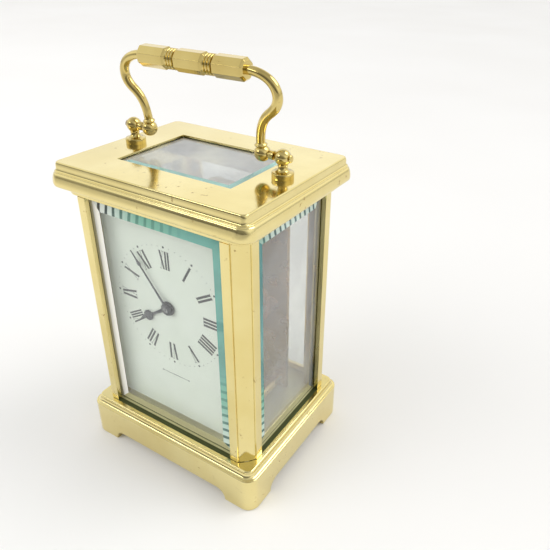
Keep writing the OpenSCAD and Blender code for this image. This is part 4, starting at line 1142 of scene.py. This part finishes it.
def studio_floor():
    """Wide pale floor just under the feet."""
    mesh = bpy.data.meshes.new("floor")
    reach = 12.0
    mesh.from_pydata([(-reach, -reach, 0), (reach, -reach, 0), (reach, reach, 0),
                      (-reach, reach, 0)], [], [(0, 1, 2, 3)])
    mesh.materials.append(floor_material())
    floor = bpy.data.objects.new("floor", mesh)
    bpy.context.scene.collection.objects.link(floor)
    clearance = 0.1 * MM
    floor.location.z = cad_box[0][2] - clearance


def world_node(tree, kind, links, setting=None, **values):
    """A node of the world with its setting, its input values and the outputs that feed it."""
    node = tree.nodes.new(kind)
    if setting:
        setattr(node, *setting)
    for key, value in values.items():
        node.inputs[key.replace("_", " ")].default_value = value
    for output, key in links:
        tree.links.new(output, node.inputs[key])
    return node


def studio_world():
    """Soft white room, brightest at mid height and much darker on the viewer's side."""
    world = bpy.data.worlds.new("studio")
    world.use_nodes = True
    tree = world.node_tree
    tree.nodes.clear()
    place = tree.nodes.new("ShaderNodeTexCoord").outputs["Generated"]
    split = world_node(tree, "ShaderNodeSeparateXYZ", [(place, 0)])
    ramp = world_node(tree, "ShaderNodeValToRGB", [(split.outputs["Z"], "Fac")])
    stops = [(0.0, 0.75), (0.12, 0.95), (0.35, 1.2), (0.6, 1.1), (0.8, 0.75), (1.0, 0.6)]
    while len(ramp.color_ramp.elements) < len(stops):
        ramp.color_ramp.elements.new(0.5)
    for element, (at, value) in zip(ramp.color_ramp.elements, stops):
        element.position = at
        element.color = (value, value, value * 0.985, 1)
    viewer = world_node(tree, "ShaderNodeVectorMath", [(place, 0)], ("operation", "DOT_PRODUCT"))
    viewer.inputs[1].default_value = (0.1, -1.0, -0.35)
    dim = world_node(tree, "ShaderNodeMapRange", [(viewer.outputs["Value"], "Value")],
                     ("interpolation_type", "SMOOTHSTEP"),
                     From_Min=0.2, From_Max=0.75, To_Min=1.0, To_Max=0.22)
    cloud = world_node(tree, "ShaderNodeTexNoise", [(place, "Vector")], Scale=1.7, Detail=1.0)
    patch = world_node(tree, "ShaderNodeMapRange", [(cloud.outputs["Fac"], "Value")],
                       From_Min=0.38, From_Max=0.5, To_Min=0.8, To_Max=1.0)
    both = world_node(tree, "ShaderNodeMath",
                      [(dim.outputs["Result"], 0), (patch.outputs["Result"], 1)],
                      ("operation", "MULTIPLY"))
    tint = world_node(tree, "ShaderNodeVectorMath",
                      [(ramp.outputs["Color"], 0), (both.outputs[0], "Scale")],
                      ("operation", "SCALE"))
    back = world_node(tree, "ShaderNodeBackground", [(tint.outputs["Vector"], "Color")])
    out = tree.nodes.new("ShaderNodeOutputWorld")
    tree.links.new(back.outputs[0], out.inputs["Surface"])
    bpy.context.scene.world = world


def area_light(name, place, size, power, mirrored):
    """Rectangular lamp aimed at the clock. Unless mirrored, polished metal doesn't show it."""
    lamp = bpy.data.lights.new(name, "AREA")
    lamp.shape = "RECTANGLE"
    lamp.size, lamp.size_y = size
    lamp.energy = power
    holder = bpy.data.objects.new(name, lamp)
    holder.visible_glossy = mirrored
    holder.location = place
    middle_of_clock = Vector((0, 0, 0.07))
    aim = middle_of_clock - Vector(place)
    holder.rotation_euler = aim.to_track_quat("-Z", "Y").to_euler()
    bpy.context.scene.collection.objects.link(holder)


def studio_lights():
    """A soft window high on the right and behind, broad fill in front and a narrow accent."""
    lamp = bpy.data.lights.new("window_light", "SUN")
    lamp.energy = 0.9
    lamp.angle = radians(35)
    lamp.color = (1.0, 0.99, 0.97)
    beam = Vector((-0.6, -0.45, -0.9))
    holder = bpy.data.objects.new("window_light", lamp)
    holder.rotation_euler = beam.to_track_quat("-Z", "Y").to_euler()
    bpy.context.scene.collection.objects.link(holder)
    area_light("front_fill", (-0.9, -1.6, 1.5), (2.4, 1.6), 22, False)
    area_light("accent", (-0.7, -1.0, 0.8), (0.5, 0.16), 1.2, True)


def studio_camera():
    """Camera at the photograph's angle, distance and framing."""
    azimuth, elevation, roll = radians(31.16), radians(29.1), radians(1.11)
    target = Vector((-1.63, 66.34, 52.07)) * MM
    distance = 291.94 * MM
    back = Vector((sin(azimuth) * cos(elevation), -cos(azimuth) * cos(elevation),
                   sin(elevation)))
    level = (-back).cross(Vector((0, 0, 1))).normalized()
    rise = level.cross(-back)
    right = level * cos(roll) + rise * sin(roll)
    up = rise * cos(roll) - level * sin(roll)
    data = bpy.data.cameras.new("camera")
    data.sensor_width = 36
    data.lens = 37.466
    data.shift_x, data.shift_y = -0.0339, -0.0267
    data.clip_start, data.clip_end = 0.005, 50
    camera = bpy.data.objects.new("camera", data)
    turn = Matrix((right, up, back)).transposed()
    camera.matrix_world = Matrix.Translation(target + back * distance) @ turn.to_4x4()
    bpy.context.scene.collection.objects.link(camera)
    bpy.context.scene.camera = camera


studio_camera()
studio_world()
studio_lights()
studio_floor()
bpy.context.scene.view_settings.view_transform = "Standard"

dress_frame()
base_moulding()
top_moulding()
case_pillars()
case_glass()
handle_grip()
handle_arm(-1, "handle_arm_left")
handle_arm(1, "handle_arm_right")
handle_posts()
pivot_rivets()
door_leaf()
door_pull()
dial_work()
